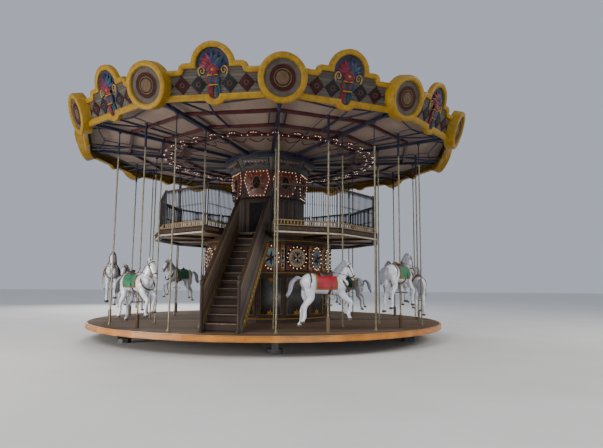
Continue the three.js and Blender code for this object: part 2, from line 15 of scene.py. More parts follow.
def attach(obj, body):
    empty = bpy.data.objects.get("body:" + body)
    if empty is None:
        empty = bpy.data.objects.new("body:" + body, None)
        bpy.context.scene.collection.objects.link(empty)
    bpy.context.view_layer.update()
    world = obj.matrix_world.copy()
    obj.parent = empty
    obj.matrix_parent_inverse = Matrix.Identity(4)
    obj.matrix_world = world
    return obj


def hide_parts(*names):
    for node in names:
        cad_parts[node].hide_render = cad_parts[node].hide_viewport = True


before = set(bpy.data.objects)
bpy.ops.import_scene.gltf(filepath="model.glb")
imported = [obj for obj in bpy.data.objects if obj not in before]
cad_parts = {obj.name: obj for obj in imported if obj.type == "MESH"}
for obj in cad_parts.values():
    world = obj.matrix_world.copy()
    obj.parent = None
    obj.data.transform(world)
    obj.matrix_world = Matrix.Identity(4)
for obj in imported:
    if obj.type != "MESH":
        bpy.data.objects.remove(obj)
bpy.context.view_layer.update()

# %% [markdown]
# ## The camera and the studio
# The photograph was taken at eye level, about 1.5 m up and 15 m away, looking slightly up. The camera stands
# there, and its axes are written down as vectors, which is clearer than three angles.

# %% Camera
FOCAL_PIXELS, PHOTO_WIDTH, SENSOR = 492.6, 603, 36.0
EYE = Vector((-0.591, -14.777, 1.469))
YAW, PITCH, ROLL = math.radians(6.09), math.radians(6.89), math.radians(0.52)
view_direction = Vector((math.sin(YAW) * math.cos(PITCH), math.cos(YAW) * math.cos(PITCH), math.sin(PITCH)))
level = Vector((math.cos(YAW), -math.sin(YAW), 0))
upright = level.cross(view_direction)
camera_x = level * math.cos(ROLL) + upright * math.sin(ROLL)
camera_y = upright * math.cos(ROLL) - level * math.sin(ROLL)
camera_data = bpy.data.cameras.new("viewer")
camera_data.sensor_width = SENSOR
camera_data.lens = SENSOR * FOCAL_PIXELS / PHOTO_WIDTH
camera = bpy.data.objects.new("viewer", camera_data)
turn = Matrix((camera_x, camera_y, -view_direction)).transposed()
camera.matrix_world = Matrix.Translation(EYE) @ turn.to_4x4()
bpy.context.scene.collection.objects.link(camera)
bpy.context.scene.camera = camera

# %% [markdown]
# A pale world and five large area lamps give plain soft light. The big lamp stands high on the left, the
# second fills from the right, two low ones in front light the underside of the canopy, and one stands behind,
# so that the far side can be looked at too.

# %% Lamps and world
LAMPS = (  # name, place, aim, size in metres, watts, colour
    ("key_lamp", (-9, -17, 13), (0, -2, 3.5), 9, 1650, (1.0, 0.96, 0.90)),
    ("side_lamp", (17, -7, 10), (2, -1, 4), 8, 1250, (1.0, 0.93, 0.82)),
    ("low_lamp", (4.5, -15.5, 0.7), (0, -1, 4.9), 5, 520, (1.0, 0.95, 0.90)),
    ("left_low_lamp", (-12, -7, 0.8), (-1.5, 0, 5.0), 5, 1500, (1.0, 0.93, 0.86)),
    ("back_lamp", (-7, 18, 10), (0, 2, 3.5), 9, 2100, (1.0, 0.96, 0.90)))
for name, place, aim, size, watts, colour in LAMPS:
    data = bpy.data.lights.new(name, "AREA")
    data.shape, data.size, data.energy, data.color = "DISK", size, watts, colour
    lamp = bpy.data.objects.new(name, data)
    lamp.location = place
    lamp.rotation_euler = (Vector(aim) - Vector(place)).to_track_quat("-Z", "Y").to_euler()
    bpy.context.scene.collection.objects.link(lamp)
world = bpy.data.worlds.new("studio")
bpy.context.scene.world = world
world.use_nodes = True
world.node_tree.nodes["Background"].inputs["Color"].default_value = (0.80, 0.87, 1.0, 1)
world.node_tree.nodes["Background"].inputs["Strength"].default_value = 0.55

# %% [markdown]
# ## Finishes
# Every finish is a small tree of nodes. One class wraps a node's socket, so that a pattern can be written as
# arithmetic, and another builds the tree. All patterns read Object coordinates, which here are metres.

# %% Arithmetic on sockets
class Wire:
    """An output socket that can be used like a number."""

    def __init__(self, paint, socket):
        self.paint, self.socket = paint, socket

    def math(self, operation, *parts, **settings):
        return self.paint.node("ShaderNodeMath", 0, dict(enumerate(parts)), operation=operation, **settings)

    def __add__(self, other): return self.math("ADD", self, other)
    def __radd__(self, other): return self.math("ADD", other, self)
    def __sub__(self, other): return self.math("SUBTRACT", self, other)
    def __rsub__(self, other): return self.math("SUBTRACT", other, self)
    def __mul__(self, other): return self.math("MULTIPLY", self, other)
    def __truediv__(self, other): return self.math("DIVIDE", self, other)
    def __gt__(self, other): return self.math("GREATER_THAN", self, other)
    def part(self): return self.math("FRACT", self)
    def whole(self): return self.math("FLOOR", self)
    def size(self): return self.math("ABSOLUTE", self)
    def sine(self): return self.math("SINE", self)

    def contrast(self, amount):
        """Spread the value about 0.5, kept between 0 and 1."""
        return self.math("MULTIPLY_ADD", self - 0.5, amount, 0.5, use_clamp=True)

# %% A tree of nodes for one finish
class Paint:
    """A material whose nodes are made by kind, sockets and settings."""

    def __init__(self, name, metal=0.0, coat=0.0, shine=0.5):
        self.material = bpy.data.materials.new(name)
        self.material.use_nodes = True
        self.tree = self.material.node_tree
        self.shader = self.tree.nodes["Principled BSDF"]
        self.shader.inputs["Metallic"].default_value = metal
        self.shader.inputs["Coat Weight"].default_value = coat
        self.shader.inputs["Specular IOR Level"].default_value = shine
        self.place = self.node("ShaderNodeTexCoord", "Object", {})

    def node(self, kind, output, sockets, **settings):
        """Add a node and give back one of its outputs."""
        made = self.tree.nodes.new(kind)
        for key, value in settings.items():
            setattr(made, key, value)
        for key, value in sockets.items():
            self.plug(made.inputs[key], value)
        return Wire(self, made.outputs[output])

    def plug(self, socket, value):
        if isinstance(value, Wire):
            self.tree.links.new(value.socket, socket)
        elif socket.type == "RGBA":
            socket.default_value = (*value[:3], 1)
        else:
            socket.default_value = value

    def xyz(self):
        split = self.node("ShaderNodeSeparateXYZ", "X", {0: self.place}).socket.node
        return [Wire(self, split.outputs[axis]) for axis in "XYZ"]

    def noise(self, scale, detail, at=None):
        return self.node("ShaderNodeTexNoise", "Fac", {"Vector": at or self.place, "Scale": scale,
                                                       "Detail": detail, "Roughness": 0.55})

    def mix(self, amount, first, second):
        return self.node("ShaderNodeMix", 2, {0: amount, 6: first, 7: second}, data_type="RGBA")

    def done(self, colour, rough, height=None, depth=0.001):
        self.plug(self.shader.inputs["Base Color"], colour)
        self.plug(self.shader.inputs["Roughness"], rough)
        if height is not None:
            bump = {"Height": height, "Distance": depth, "Strength": 1.0}
            self.plug(self.shader.inputs["Normal"], self.node("ShaderNodeBump", "Normal", bump))
        return self.material

def scaled(colour, amount):
    return tuple(amount * v for v in colour)

# %% [markdown]
# ### Painted surfaces
# Most of a ride is enamel that has stood in the sun: large soft patches, fine specks, and dirt in a slightly
# darker tone. One function makes them all, and its numbers give each paint its own age.

# %% Enamel
def enamel(name, light, dark, scale=4.0, rough=0.38, metal=0.0, coat=0.0, specks=0.25, depth=0.0012, shine=0.5):
    paint = Paint(name, metal, coat, shine)
    patches = paint.noise(scale, 4)
    fine = paint.noise(scale * 11, 2)
    tone = (patches * (1 - specks) + fine * specks).contrast(2.6)
    colour = paint.mix(tone, dark, light)
    return paint.done(colour, rough + (fine - 0.5) * 0.3, patches * 0.4 + fine * 0.6, depth)

gold = enamel("golden_enamel", (0.32, 0.190, 0.003), (0.115, 0.055, 0.002), 9, 0.48,
              shine=0.25, specks=0.6, depth=0.003)
pale_gold = enamel("pale_gold_paint", (0.36, 0.26, 0.09), (0.13, 0.08, 0.025), 14, 0.4,
                   metal=0.25, specks=0.5, depth=0.003)
maroon = enamel("maroon_enamel", (0.038, 0.007, 0.009), (0.012, 0.003, 0.004), 7, 0.62, shine=0.12)
black = enamel("black_enamel", (0.016, 0.016, 0.020), (0.005, 0.005, 0.007), 8, 0.6, shine=0.12)
cream = enamel("cream_enamel", (0.55, 0.47, 0.34), (0.25, 0.19, 0.12), 9, 0.4)
tan = enamel("tan_enamel", (0.105, 0.062, 0.030), (0.05, 0.028, 0.014), 12, 0.6, shine=0.2)
scarlet = enamel("scarlet_enamel", (0.155, 0.010, 0.018), (0.055, 0.005, 0.008), 9, 0.45, shine=0.2)
teal = enamel("teal_enamel", (0.012, 0.062, 0.080), (0.005, 0.022, 0.030), 9, 0.45, shine=0.2)
blue = enamel("blue_enamel", (0.013, 0.024, 0.080), (0.005, 0.009, 0.028), 9, 0.45, shine=0.2)
rose = enamel("rose_enamel", (0.14, 0.012, 0.042), (0.05, 0.005, 0.015), 9, 0.45, shine=0.2)
navy = enamel("navy_black_paint", (0.030, 0.032, 0.062), (0.009, 0.010, 0.020), 3, 0.5, shine=0.2)
oxide = enamel("brown_red_paint", (0.085, 0.018, 0.022), (0.026, 0.008, 0.011), 4, 0.5, shine=0.25)
brass = enamel("pale_brass", (0.27, 0.245, 0.155), (0.12, 0.105, 0.062), 16, 0.38, metal=0.55)
steel = enamel("grey_steel_paint", (0.10, 0.105, 0.115), (0.030, 0.030, 0.034), 5, 0.5, metal=0.3)
orange = enamel("orange_rim_enamel", (0.64, 0.23, 0.022), (0.34, 0.11, 0.012), 3, 0.38)
red_panel = enamel("red_panel_enamel", (0.20, 0.030, 0.018), (0.08, 0.012, 0.010), 6, 0.45)
dark_brown = enamel("dark_brown_paint", (0.060, 0.036, 0.026), (0.016, 0.011, 0.010), 5, 0.45, shine=0.25)
ceiling_paint = enamel("brown_ceiling_paint", (0.52, 0.34, 0.21), (0.28, 0.17, 0.10), 3, 0.45)
field_paint = enamel("grey_field_paint", (0.085, 0.073, 0.061), (0.045, 0.038, 0.033), 6, 0.75, shine=0.2)
old_gold = enamel("old_gold_paint", (0.27, 0.17, 0.06), (0.10, 0.058, 0.02), 14, 0.45, specks=0.5, shine=0.3)
nosing_paint = enamel("worn_nosing", (0.26, 0.175, 0.11), (0.11, 0.07, 0.045), 14, 0.5)
grey_green = enamel("grey_green_panel", (0.085, 0.080, 0.070), (0.028, 0.030, 0.030), 9, 0.5,
                    specks=0.5, shine=0.25)
# Painted reflection: the mirrors get a dark grey, which stands in for the dark inside of the ride that they reflect.
mirror = enamel("dark_mirror", (0.085, 0.08, 0.078), (0.030, 0.028, 0.027), 3, 0.32, metal=0.75, depth=0.0004)

# %% [markdown]
# ### Boards
# A board is a stripe of its own tone with grain along it and a dark joint at its edge. The position across the
# boards, divided by their width, gives the number of the board (whole part) and the joint (fractional part).

# %% Boards
def boards(name, light, dark, width, across, along, rough=0.55, joint=0.06, depth=0.004, shine=0.25):
    """across and along are functions from (x, y, z) to a length in metres."""
    paint = Paint(name, shine=shine)
    x, y, z = paint.xyz()
    count = across(x, y, z) / width
    number = count.whole()
    own_tone = paint.node("ShaderNodeTexWhiteNoise", "Value", {"W": number}, noise_dimensions="1D")
    lengthwise = {0: along(x, y, z) * 2.2, 1: across(x, y, z) * 60, 2: number * 3.7}
    grain = paint.noise(1.0, 4, paint.node("ShaderNodeCombineXYZ", 0, lengthwise))
    stains = paint.noise(2.2, 4)
    edge = (count.part() - 0.5).size() > (0.5 - joint)
    tone = (own_tone * 0.35 + grain * 0.4 + stains * 0.25).contrast(2.4)
    colour = paint.mix(edge, paint.mix(tone, dark, light), scaled(dark, 0.35))
    return paint.done(colour, rough + (grain - 0.5) * 0.25, grain * 0.3 + (1 - edge) * 0.7, depth)

def azimuth_of(x, y):
    return x.math("ARCTAN2", x, y * -1)

STAIR_AZIMUTH = -15
STAIR_TURN = math.radians(STAIR_AZIMUTH)
STAIR_SLOPE = math.atan2(0.18154, 0.20583)
outward = lambda x, y: x * math.sin(STAIR_TURN) - y * math.cos(STAIR_TURN)
hub_boards = boards("hub_boards", (0.095, 0.060, 0.042), (0.030, 0.020, 0.015), 0.105,
                    lambda x, y, z: azimuth_of(x, y), lambda x, y, z: z)
deck_boards = boards("deck_boards", (0.23, 0.155, 0.10), (0.085, 0.055, 0.036), 0.14,
                     lambda x, y, z: y, lambda x, y, z: x, 0.85, shine=0.12)
field_boards = boards("crown_field_boards", (0.082, 0.070, 0.058), (0.043, 0.036, 0.030), 0.062,
                      lambda x, y, z: z, lambda x, y, z: x + y, 0.75, 0.045, 0.003)
stair_boards = boards("stair_wall_boards", (0.20, 0.160, 0.135), (0.055, 0.042, 0.037), 0.105,
                      lambda x, y, z: z * math.cos(STAIR_SLOPE) + outward(x, y) * math.sin(STAIR_SLOPE),
                      lambda x, y, z: z * math.sin(STAIR_SLOPE) - outward(x, y) * math.cos(STAIR_SLOPE))
tread_boards = boards("tread_boards", (0.085, 0.056, 0.040), (0.028, 0.018, 0.014), 0.09,
                      lambda x, y, z: outward(x, y) + z * 0.7, lambda x, y, z: x)

# %% [markdown]
# ### Canvas
# Cloth shows a fine weave, seams where its strips are sewn, and long soft stains. The weave is two sine waves
# across each other, and the seams follow the azimuth, because the strips are cut like slices of a cake.

# %% Canvas
def canvas(name, light, dark, rough=0.85, strips=24):
    paint = Paint(name)
    x, y, z = paint.xyz()
    seam = ((azimuth_of(x, y) * (strips / math.tau)).part() - 0.5).size() > 0.492
    weave = (x * 900).sine() * (y * 900).sine()
    stains = paint.noise(0.9, 5)
    streaks = paint.noise(3.0, 3)
    tone = (stains * 0.7 + streaks * 0.3).contrast(2.2)
    colour = paint.mix(seam * 0.5, paint.mix(tone, dark, light), scaled(dark, 0.5))
    return paint.done(colour, rough + (streaks - 0.5) * 0.15, weave * 0.15 + seam * 0.8 + stains * 0.3, 0.002)

lining_canvas = canvas("lining_canvas", (0.27, 0.200, 0.160), (0.165, 0.118, 0.093))
roof_canvas = canvas("roof_canvas", (0.55, 0.47, 0.35), (0.36, 0.29, 0.20), 0.7)

# %% Lit glass
GLOW = (1.0, 0.76, 0.50)
bulb_paint = Paint("warm_bulb_glass")
haze = bulb_paint.noise(40, 2)
bulb_paint.plug(bulb_paint.shader.inputs["Emission Color"], bulb_paint.mix(haze, GLOW, scaled(GLOW, 0.75)))
bulb_paint.shader.inputs["Emission Strength"].default_value = 3.4
bulb_glass = bulb_paint.done(bulb_paint.mix(haze, (0.9, 0.75, 0.5), (0.8, 0.6, 0.35)), 0.25 + haze * 0.1)

# %% Re-finish the solids that keep their own shape
for finish, nodes in (
        (steel, "base_frame centre_pedestal slewing_ring platform_frame"),
        (deck_boards, "platform_deck upper_deck_floor"), (orange, "platform_rim"), (grey_green, "hub_soffit"),
        (dark_brown, "centre_drum upper_deck_beams upper_deck_fascia hub_drum"),
        (tread_boards, "stair_flight"), (stair_boards, "stair_wall_left stair_wall_right")):
    for node in nodes.split():
        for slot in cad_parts[node].material_slots:
            slot.material = finish
print(len(bpy.data.materials), "finishes so far")

# %% [markdown]
# ## Tools of the bench
# Three ways of modelling make nearly every piece: a loop of points extruded from ring to ring, an outline spun
# about an axis, and a flat outline given depth. Each starts from a circle primitive, whose points are laid on the
# first ring, and then Blender's own extrude and spin do the work.

# %% Selecting and finishing
def only(*objects):
    bpy.ops.object.select_all(action="DESELECT")
    for made in objects:
        made.select_set(True)
    bpy.context.view_layer.objects.active = objects[0]

def loop_of(name, count, fill="NOTHING"):
    """A circle primitive in edit mode, all selected, in edge mode."""
    bpy.ops.object.select_all(action="DESELECT")
    bpy.ops.mesh.primitive_circle_add(vertices=count, radius=1, fill_type=fill)
    made = bpy.context.object
    made.name = name
    bpy.ops.object.mode_set(mode="EDIT")
    bpy.ops.mesh.select_mode(type="EDGE")
    bpy.ops.mesh.select_all(action="SELECT")
    return made

def tidy(made, fill=True):
    """Merge doubled points, close the open ends and turn the faces outwards."""
    bpy.ops.mesh.select_all(action="SELECT")
    bpy.ops.mesh.remove_doubles(threshold=0.00002)
    if fill:
        bpy.ops.mesh.fill_holes(sides=0)
    bpy.ops.mesh.select_all(action="SELECT")
    bpy.ops.mesh.normals_make_consistent(inside=False)
    bpy.ops.object.mode_set(mode="OBJECT")
    return made

def smooth(made, angle=32):
    only(made)
    bpy.ops.object.shade_smooth_by_angle(angle=math.radians(angle))
    return made

def modify(made, kind, **settings):
    """Add one modifier and apply it."""
    only(made)
    bpy.ops.object.modifier_add(type=kind)
    for key, value in settings.items():
        setattr(made.modifiers[-1], key, value)
    bpy.ops.object.modifier_apply(modifier=made.modifiers[-1].name)
    return made

def coat(made, *finishes):
    made.data.materials.clear()
    for finish in finishes:
        made.data.materials.append(finish)
    return made

# %% Placing, copying and settling
def shift(x, y, z=0.0):
    return Matrix.Translation((x, y, z))

def rotate(degrees, axis="Z"):
    return Matrix.Rotation(math.radians(degrees), 4, axis)

def moved(made, place):
    made.data.transform(place)
    return made

def copied(master, name, place):
    made = master.copy()
    made.data = master.data.copy()
    made.name = name
    bpy.context.collection.objects.link(made)
    return moved(made, place)

def remove(*masters):
    for master in masters:
        bpy.data.objects.remove(master)

def joined(name, *parts):
    only(*parts)
    if len(parts) > 1:
        bpy.ops.object.join()
    parts[0].name = name
    return parts[0]

def repeated(name, master, places):
    """One object made of a copy of the master at each place. The master goes."""
    made = joined(name, *[copied(master, f"{name}_{i}", place) for i, place in enumerate(places)])
    remove(master)
    return made

def settle(made, body="turntable", nodes=()):
    """The finished piece: placed in its mesh, its body and the solids it stands for."""
    only(made)
    bpy.ops.object.transform_apply(location=True, rotation=True, scale=True)
    if nodes:
        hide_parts(*nodes)
    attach(made, body)
    return made

# %% Rows of numbers and outlines
def circle(count):
    return [math.tau * k / count for k in range(count)]

def spaced(start, stop, steps):
    return [start + (stop - start) * i / steps for i in range(steps + 1)]

def arc(centre_x, centre_y, radius, start, stop, steps):
    return [(centre_x + radius * math.cos(math.radians(a)), centre_y + radius * math.sin(math.radians(a)))
            for a in spaced(start, stop, steps)]

def box(left, right, low, high):
    return [(left, low), (right, low), (right, high), (left, high)]

def heading(path, i):
    """The direction of a path at one of its points."""
    return (path[min(i + 1, len(path) - 1)] - path[max(i - 1, 0)]).normalized()

# %% Loft, spin and plate
def loft(name, rings, closed=False, fill=True):
    """A loop of points, extruded from ring to ring."""
    made = loop_of(name, len(rings[0]))
    loop = bmesh.from_edit_mesh(made.data)
    seat = loop.verts.layers.int.new("seat")
    for number, point in enumerate(loop.verts):
        point[seat] = number
        point.co = rings[0][number]
    for ring in rings[1:] + (rings[:1] if closed else []):
        bpy.ops.mesh.extrude_edges_move()
        loop = bmesh.from_edit_mesh(made.data)
        seat = loop.verts.layers.int["seat"]
        for point in loop.verts:
            if point.select:
                point.co = ring[point[seat]]
    return tidy(made, fill and not closed)

def lofted(name, rings, finish, angle, closed=False):
    """A loft in one finish, shaded smooth up to an angle between faces."""
    return smooth(coat(loft(name, rings, closed), finish), angle)

def spun(name, profile, steps, finish):
    """A closed outline of (radius, height) points, spun about the Z axis."""
    made = loop_of(name, len(profile))
    line = bmesh.from_edit_mesh(made.data)
    for point, (radius, height) in zip(line.verts, profile):
        point.co = (radius, 0, height)
    bpy.ops.mesh.spin(steps=steps, angle=math.tau, center=(0, 0, 0), axis=(0, 0, 1))
    return smooth(coat(tidy(made, False), finish))

def plate(name, outline, front, back, finish, bevel=0.0):
    """A flat outline of (x, y) points between two heights, with its edges rounded."""
    made = loop_of(name, len(outline), "NGON")
    face = bmesh.from_edit_mesh(made.data)
    for point, (x, y) in zip(face.verts, outline):
        point.co = (x, y, front)
    bpy.ops.mesh.select_all(action="SELECT")
    bpy.ops.mesh.extrude_region_move(TRANSFORM_OT_translate={"value": (0, 0, back - front)})
    coat(tidy(made, False), finish)
    if bevel:
        modify(made, "BEVEL", width=bevel, segments=2, angle_limit=math.radians(30))
        smooth(made)
    return made

def bar(name, start, stop, radius, finish, sides=8, stations=((0, 1), (1, 1))):
    """A round bar between two points; stations are (share of the length, share of the radius)."""
    start, stop = Vector(start), Vector(stop)
    turn_to = (stop - start).to_track_quat("Z", "Y")
    rings = [[start.lerp(stop, share)
              + turn_to @ Vector((radius * swell * math.cos(a), radius * swell * math.sin(a), 0))
              for a in circle(sides)] for share, swell in stations]
    return lofted(name, rings, finish, 40)

# %% Places round the ride
BAYS = range(1, 13)
HORSE_BAYS = range(2, 13)
PLATFORM_TOP, HORSE_R = 0.44, 4.35
middle_of = lambda bay: -15 + 30 * (bay - 1)

def polar(radius, azimuth, height=0.0):
    return rotate(azimuth) @ Vector((0, -radius, height))

def wall(azimuth, radius, height, lean=0.0):
    """A place on a wall that faces outwards: X along the wall, Y up it and Z out of it."""
    return rotate(azimuth) @ shift(0, -radius, height) @ rotate(90 + lean, "X")

def flat_radius(corner_radius, sides):
    """How far out the middle of a side lies on a loop of straight sides."""
    return corner_radius * math.cos(math.pi / sides)

def twelve_sided(radius, azimuth):
    """How far out the straight side of a twelve-cornered loop lies at an azimuth."""
    return flat_radius(radius, 12) / math.cos(math.radians(azimuth % 30 - 15))

# %% [markdown]
# ## The crown
# Each bay carries a board with a golden moulding along its arched top and its bulged foot, a sunk field of
# narrow boards, and a chequer of diamonds. The moulding is a rounded section lofted along the outline. The
# outline is written as two edges with equal numbers of points, so that the section spans from one to the other.

# %% Outline of a crown board
CROWN_R, CROWN_Z, CROWN_LEAN = 5.5, 5.49, 18.8
BOARD_END, BOARD_LOW, FLAT, SPRING = 1.13, -0.365, 0.26, 0.327
ARCH_R, TRIM, SHOULDER_END, SHOULDER_R = 0.46, 0.115, 0.73, 0.13
FOOT_TRIM, FIELD_Z, BOARD_BACK = 0.135, -0.045, -0.1

def mirrored(half):
    return half + [(-x, y) for x, y in reversed(half)]

top_outer = mirrored([(BOARD_END, FLAT)] + [(SHOULDER_END, FLAT)] * 7
                     + arc(SHOULDER_END - SHOULDER_R, FLAT, SHOULDER_R, 0, 90, 6)
                     + arc(0, SPRING, ARCH_R, 8, 88, 14))
top_inner = mirrored([(BOARD_END, FLAT - TRIM)] + arc(SHOULDER_END, FLAT, TRIM, 270, 180, 6)
                     + arc(SHOULDER_END - SHOULDER_R, FLAT, SHOULDER_R - TRIM, 0, 90, 6)
                     + arc(0, SPRING, ARCH_R - TRIM, -8, 88, 14))
foot_outer = [(-BOARD_END, BOARD_LOW)] + arc(0, -0.17, 0.29, 222.3, 317.7, 18) + [(BOARD_END, BOARD_LOW)]
foot_inner = ([(-BOARD_END, BOARD_LOW + FOOT_TRIM)] + arc(0, BOARD_LOW + FOOT_TRIM, 0.105, 180, 360, 18)
              + [(BOARD_END, BOARD_LOW + FOOT_TRIM)])
MOULDING = [(0, BOARD_BACK), (0, -0.014), (0.05, 0.002), (0.2, 0.012), (0.5, 0.017), (0.8, 0.012),
            (0.95, 0.002), (1, -0.014), (1, BOARD_BACK)]

def moulding(name, outer, inner):
    rings = [[(a[0] + (b[0] - a[0]) * t, a[1] + (b[1] - a[1]) * t, h) for t, h in MOULDING]
             for a, b in zip(outer, inner)]
    return lofted(name, rings, gold, 40)

# %% The board: moulding, back and field
trim_master = joined("crown_trim", moulding("top_trim", top_outer, top_inner),
                     moulding("foot_trim", foot_outer, foot_inner),
                     plate("board_back", foot_outer + top_outer, BOARD_BACK + 0.012, BOARD_BACK, gold))
field_master = plate("crown_field", foot_inner + top_inner, FIELD_Z, BOARD_BACK + 0.012, field_boards)

# %% [markdown]
# The diamonds are thin bevelled plates with a pale ring in the middle, black and maroon in turn.

# %% Diamonds
DIAMOND_HALF, DIAMOND_Y = 0.172, -0.042

def diamond(across, body, dot):
    z, middle = FIELD_Z, shift(across, DIAMOND_Y)
    outline = [(across - DIAMOND_HALF, DIAMOND_Y), (across, DIAMOND_Y - 0.185),
               (across + DIAMOND_HALF, DIAMOND_Y), (across, DIAMOND_Y + 0.184)]
    ring = [(0.036, z), (0.048, z), (0.048, z + 0.020), (0.036, z + 0.020)]
    boss = [(0, z), (0.035, z), (0.035, z + 0.018), (0.018, z + 0.025), (0, z + 0.026)]
    return [plate("lozenge", outline, z + 0.014, z - 0.004, body, 0.004),
            moved(spun("ring", ring, 20, tan), middle), moved(spun("dot", boss, 16, dot), middle)]

parts = []
for side in (-1, 1):
    for across, body, dot in ((0.325, black, maroon), (0.675, maroon, black), (1.025, black, maroon)):
        parts += diamond(side * across, body, dot)
diamond_master = joined("crown_diamonds", *parts)

# %% [markdown]
# The middle of each board gets an ornament of the same colours and size as fairground carving has there: a fan
# of plumes over a rosette, a striped lantern, two ribbons that hang into the bulge, and golden scrolls. Plumes
# and ribbons are lofts whose points are pulled forward along the middle, as a carver would round them.

# %% Leaf, ribbon and scroll
def leaf(length, width, finish, steps=7):
    """A pointed leaf along +Y, rounded across."""
    rings = []
    for share in spaced(0, 1, steps):
        half = width / 2 * math.sin(math.pi * (0.12 + 0.88 * share) ** 0.8) + 0.002
        crown = 0.02 * math.sin(math.pi * share)
        rings.append([(half * math.cos(a), length * share, 0.45 * half * math.sin(a) + crown) for a in circle(8)])
    return lofted("leaf", rings, finish, 50)

def ribbon(side, finish, stripe):
    """Three strips side by side that wave as they hang."""
    parts = []
    for strip, finish_of in ((-1, finish), (0, stripe), (1, finish)):
        rings = []
        for share in spaced(0, 1, 8):
            y = -0.06 - 0.27 * share
            x = side * (0.060 + 0.02 * math.sin(math.pi * share)) + strip * 0.038 * (1 - 0.35 * share)
            z = FIELD_Z + 0.02 + 0.012 * math.sin(math.tau * share)
            rings.append([(x - 0.021, y, z - 0.01), (x + 0.021, y, z - 0.01),
                          (x + 0.016, y, z + 0.008), (x - 0.016, y, z + 0.008)])
        parts.append(lofted("strip", rings, finish_of, 50))
    return parts

def scroll(side):
    rings = []
    for i in range(26):
        angle, reach, thick = math.radians(-60 + 20 * i), 0.085 * (1 - i / 30), 0.019 * (1 - 0.6 * i / 25)
        centre = Vector((side * (0.23 + reach * math.cos(angle)), 0.22 + reach * math.sin(angle) * 1.2,
                         FIELD_Z + 0.022))
        out = Vector((side * math.cos(angle), math.sin(angle), 0))
        rings.append([centre + out * thick * math.cos(a) + Vector((0, 0, thick * math.sin(a)))
                      for a in circle(6)])
    return lofted("scroll", rings, pale_gold, 50)

# %% Carved ornament
ROSETTE_Y = 0.235
# Painted shade: the navy half disc named shade darkens the top of the arch behind the plumes.
parts = [plate("shade", arc(0, SPRING, 0.34, -4, 184, 18), FIELD_Z + 0.006, FIELD_Z - 0.004, navy)]
for lean, finish in zip((-80, -54, -27, 0, 27, 54, 80), (rose, scarlet, rose, blue, navy, teal, blue)):
    plume = leaf(0.31 - 0.0002 * abs(lean), 0.15, finish)
    parts.append(moved(plume, shift(0, 0.30, FIELD_Z + 0.02) @ rotate(-lean)))
for number in range(8):
    petal = leaf(0.155, 0.10, (scarlet, rose)[number % 2], 5)
    parts.append(moved(petal, shift(0, ROSETTE_Y, FIELD_Z + 0.035) @ rotate(45 * number)))
boss = spun("rosette_boss", [(0, 0), (0.036, 0), (0.034, 0.02), (0.02, 0.034), (0, 0.038)], 16, gold)
parts += [moved(boss, shift(0, ROSETTE_Y, FIELD_Z + 0.045)), scroll(-1), scroll(1)]
for number, x in enumerate(spaced(-0.115, 0.115, 5)):
    rings = [[((x + side * 0.023 * narrow) * squeeze, y, FIELD_Z + height)
              for side, height in ((-1, 0), (1, 0), (1, proud), (-1, proud))]
             for y, narrow, proud, squeeze in ((0.125, 0.75, 0.03, 0.8), (0.085, 1, 0.05, 1),
                                               (0.0, 1, 0.055, 1), (-0.055, 0.8, 0.035, 0.75))]
    parts.append(coat(loft("stave", rings), (scarlet, teal, blue)[number % 3]))
for y, half in ((0.13, 0.11), (-0.06, 0.10)):
    cap = box(-half, half, y - 0.012, y + 0.012)
    parts.append(plate("lantern_cap", cap, FIELD_Z + 0.062, FIELD_Z, gold, 0.005))
parts += [joined("ribbon", *ribbon(-1, scarlet, rose)), joined("ribbon", *ribbon(1, teal, blue))]
ornament_master = joined("crown_ornament", *parts)
print("ornament", len(ornament_master.data.polygons), "faces")

# %% Set the twelve boards
for bay in BAYS:
    place = wall(middle_of(bay), flat_radius(CROWN_R, 12), CROWN_Z, CROWN_LEAN)
    settle(copied(trim_master, f"crown_trim_{bay:02d}", place), nodes=[f"crown_board_{bay:02d}"])
    for master, stem in ((field_master, "field"), (diamond_master, "diamonds"), (ornament_master, "ornament")):
        settle(copied(master, f"crown_{stem}_{bay:02d}", place))
remove(trim_master, field_master, diamond_master, ornament_master)

# %% [markdown]
# ## The roundels
# A roundel is turned work: one outline for the golden ring, and a few flat rings of paint inside it. Spinning an
# outline is the shortest way to such a shape, and each colour is an outline of its own.

# %% Roundels and hoop
def painted_ring(outer, inner, high, low=0.018, edge=0.003):
    return [(inner, low), (outer, low), (outer, high - edge), (outer - edge, high), (inner + edge, high),
            (inner, high - edge)]

roundel_master = joined("roundel", *[spun(name, profile, 48, finish) for name, profile, finish in (
    ("rim", [(0.34, -0.17), (0.493, -0.17), (0.493, 0.04), (0.487, 0.063), (0.471, 0.076), (0.43, 0.082),
             (0.39, 0.076), (0.374, 0.062), (0.367, 0.04), (0.366, 0.01), (0.34, 0.005)], gold),
    ("field", [(0, 0.008), (0.3665, 0.008), (0.3665, 0.020), (0, 0.022)], field_paint),
    ("backing", [(0, -0.17), (0.345, -0.17), (0.345, -0.15), (0, -0.15)], gold),
    ("edge_line", painted_ring(0.268, 0.256, 0.030), tan),
    ("outer_band", painted_ring(0.255, 0.176, 0.034), maroon),
    ("pale_band", painted_ring(0.175, 0.164, 0.030), gold),
    ("thin_band", painted_ring(0.163, 0.132, 0.032), black),
    ("boss", [(0, 0.018), (0.131, 0.018), (0.131, 0.030), (0.118, 0.036), (0.10, 0.032), (0.05, 0.040),
              (0, 0.042)], tan))])
for number in range(12):
    place = wall(30 * number, CROWN_R, CROWN_Z, CROWN_LEAN)
    settle(copied(roundel_master, f"roundel_{number + 1:02d}", place),
           nodes=[] if number else ["crown_roundels"])
remove(roundel_master)
hoop = loft("crown_hoop", [[polar(r, 30 * k, z) for r, z in box(5.27, 5.38, 5.46, 5.52)] for k in range(12)], True)
settle(modify(coat(hoop, navy), "BEVEL", width=0.004, segments=1))

# %% [markdown]
# ## Bulbs
# Hundreds of warm bulbs outline the ride. One bulb is a squat turned drop of eight sides on a short brass cap,
# few faces each, and every string of bulbs is one object made of its copies.

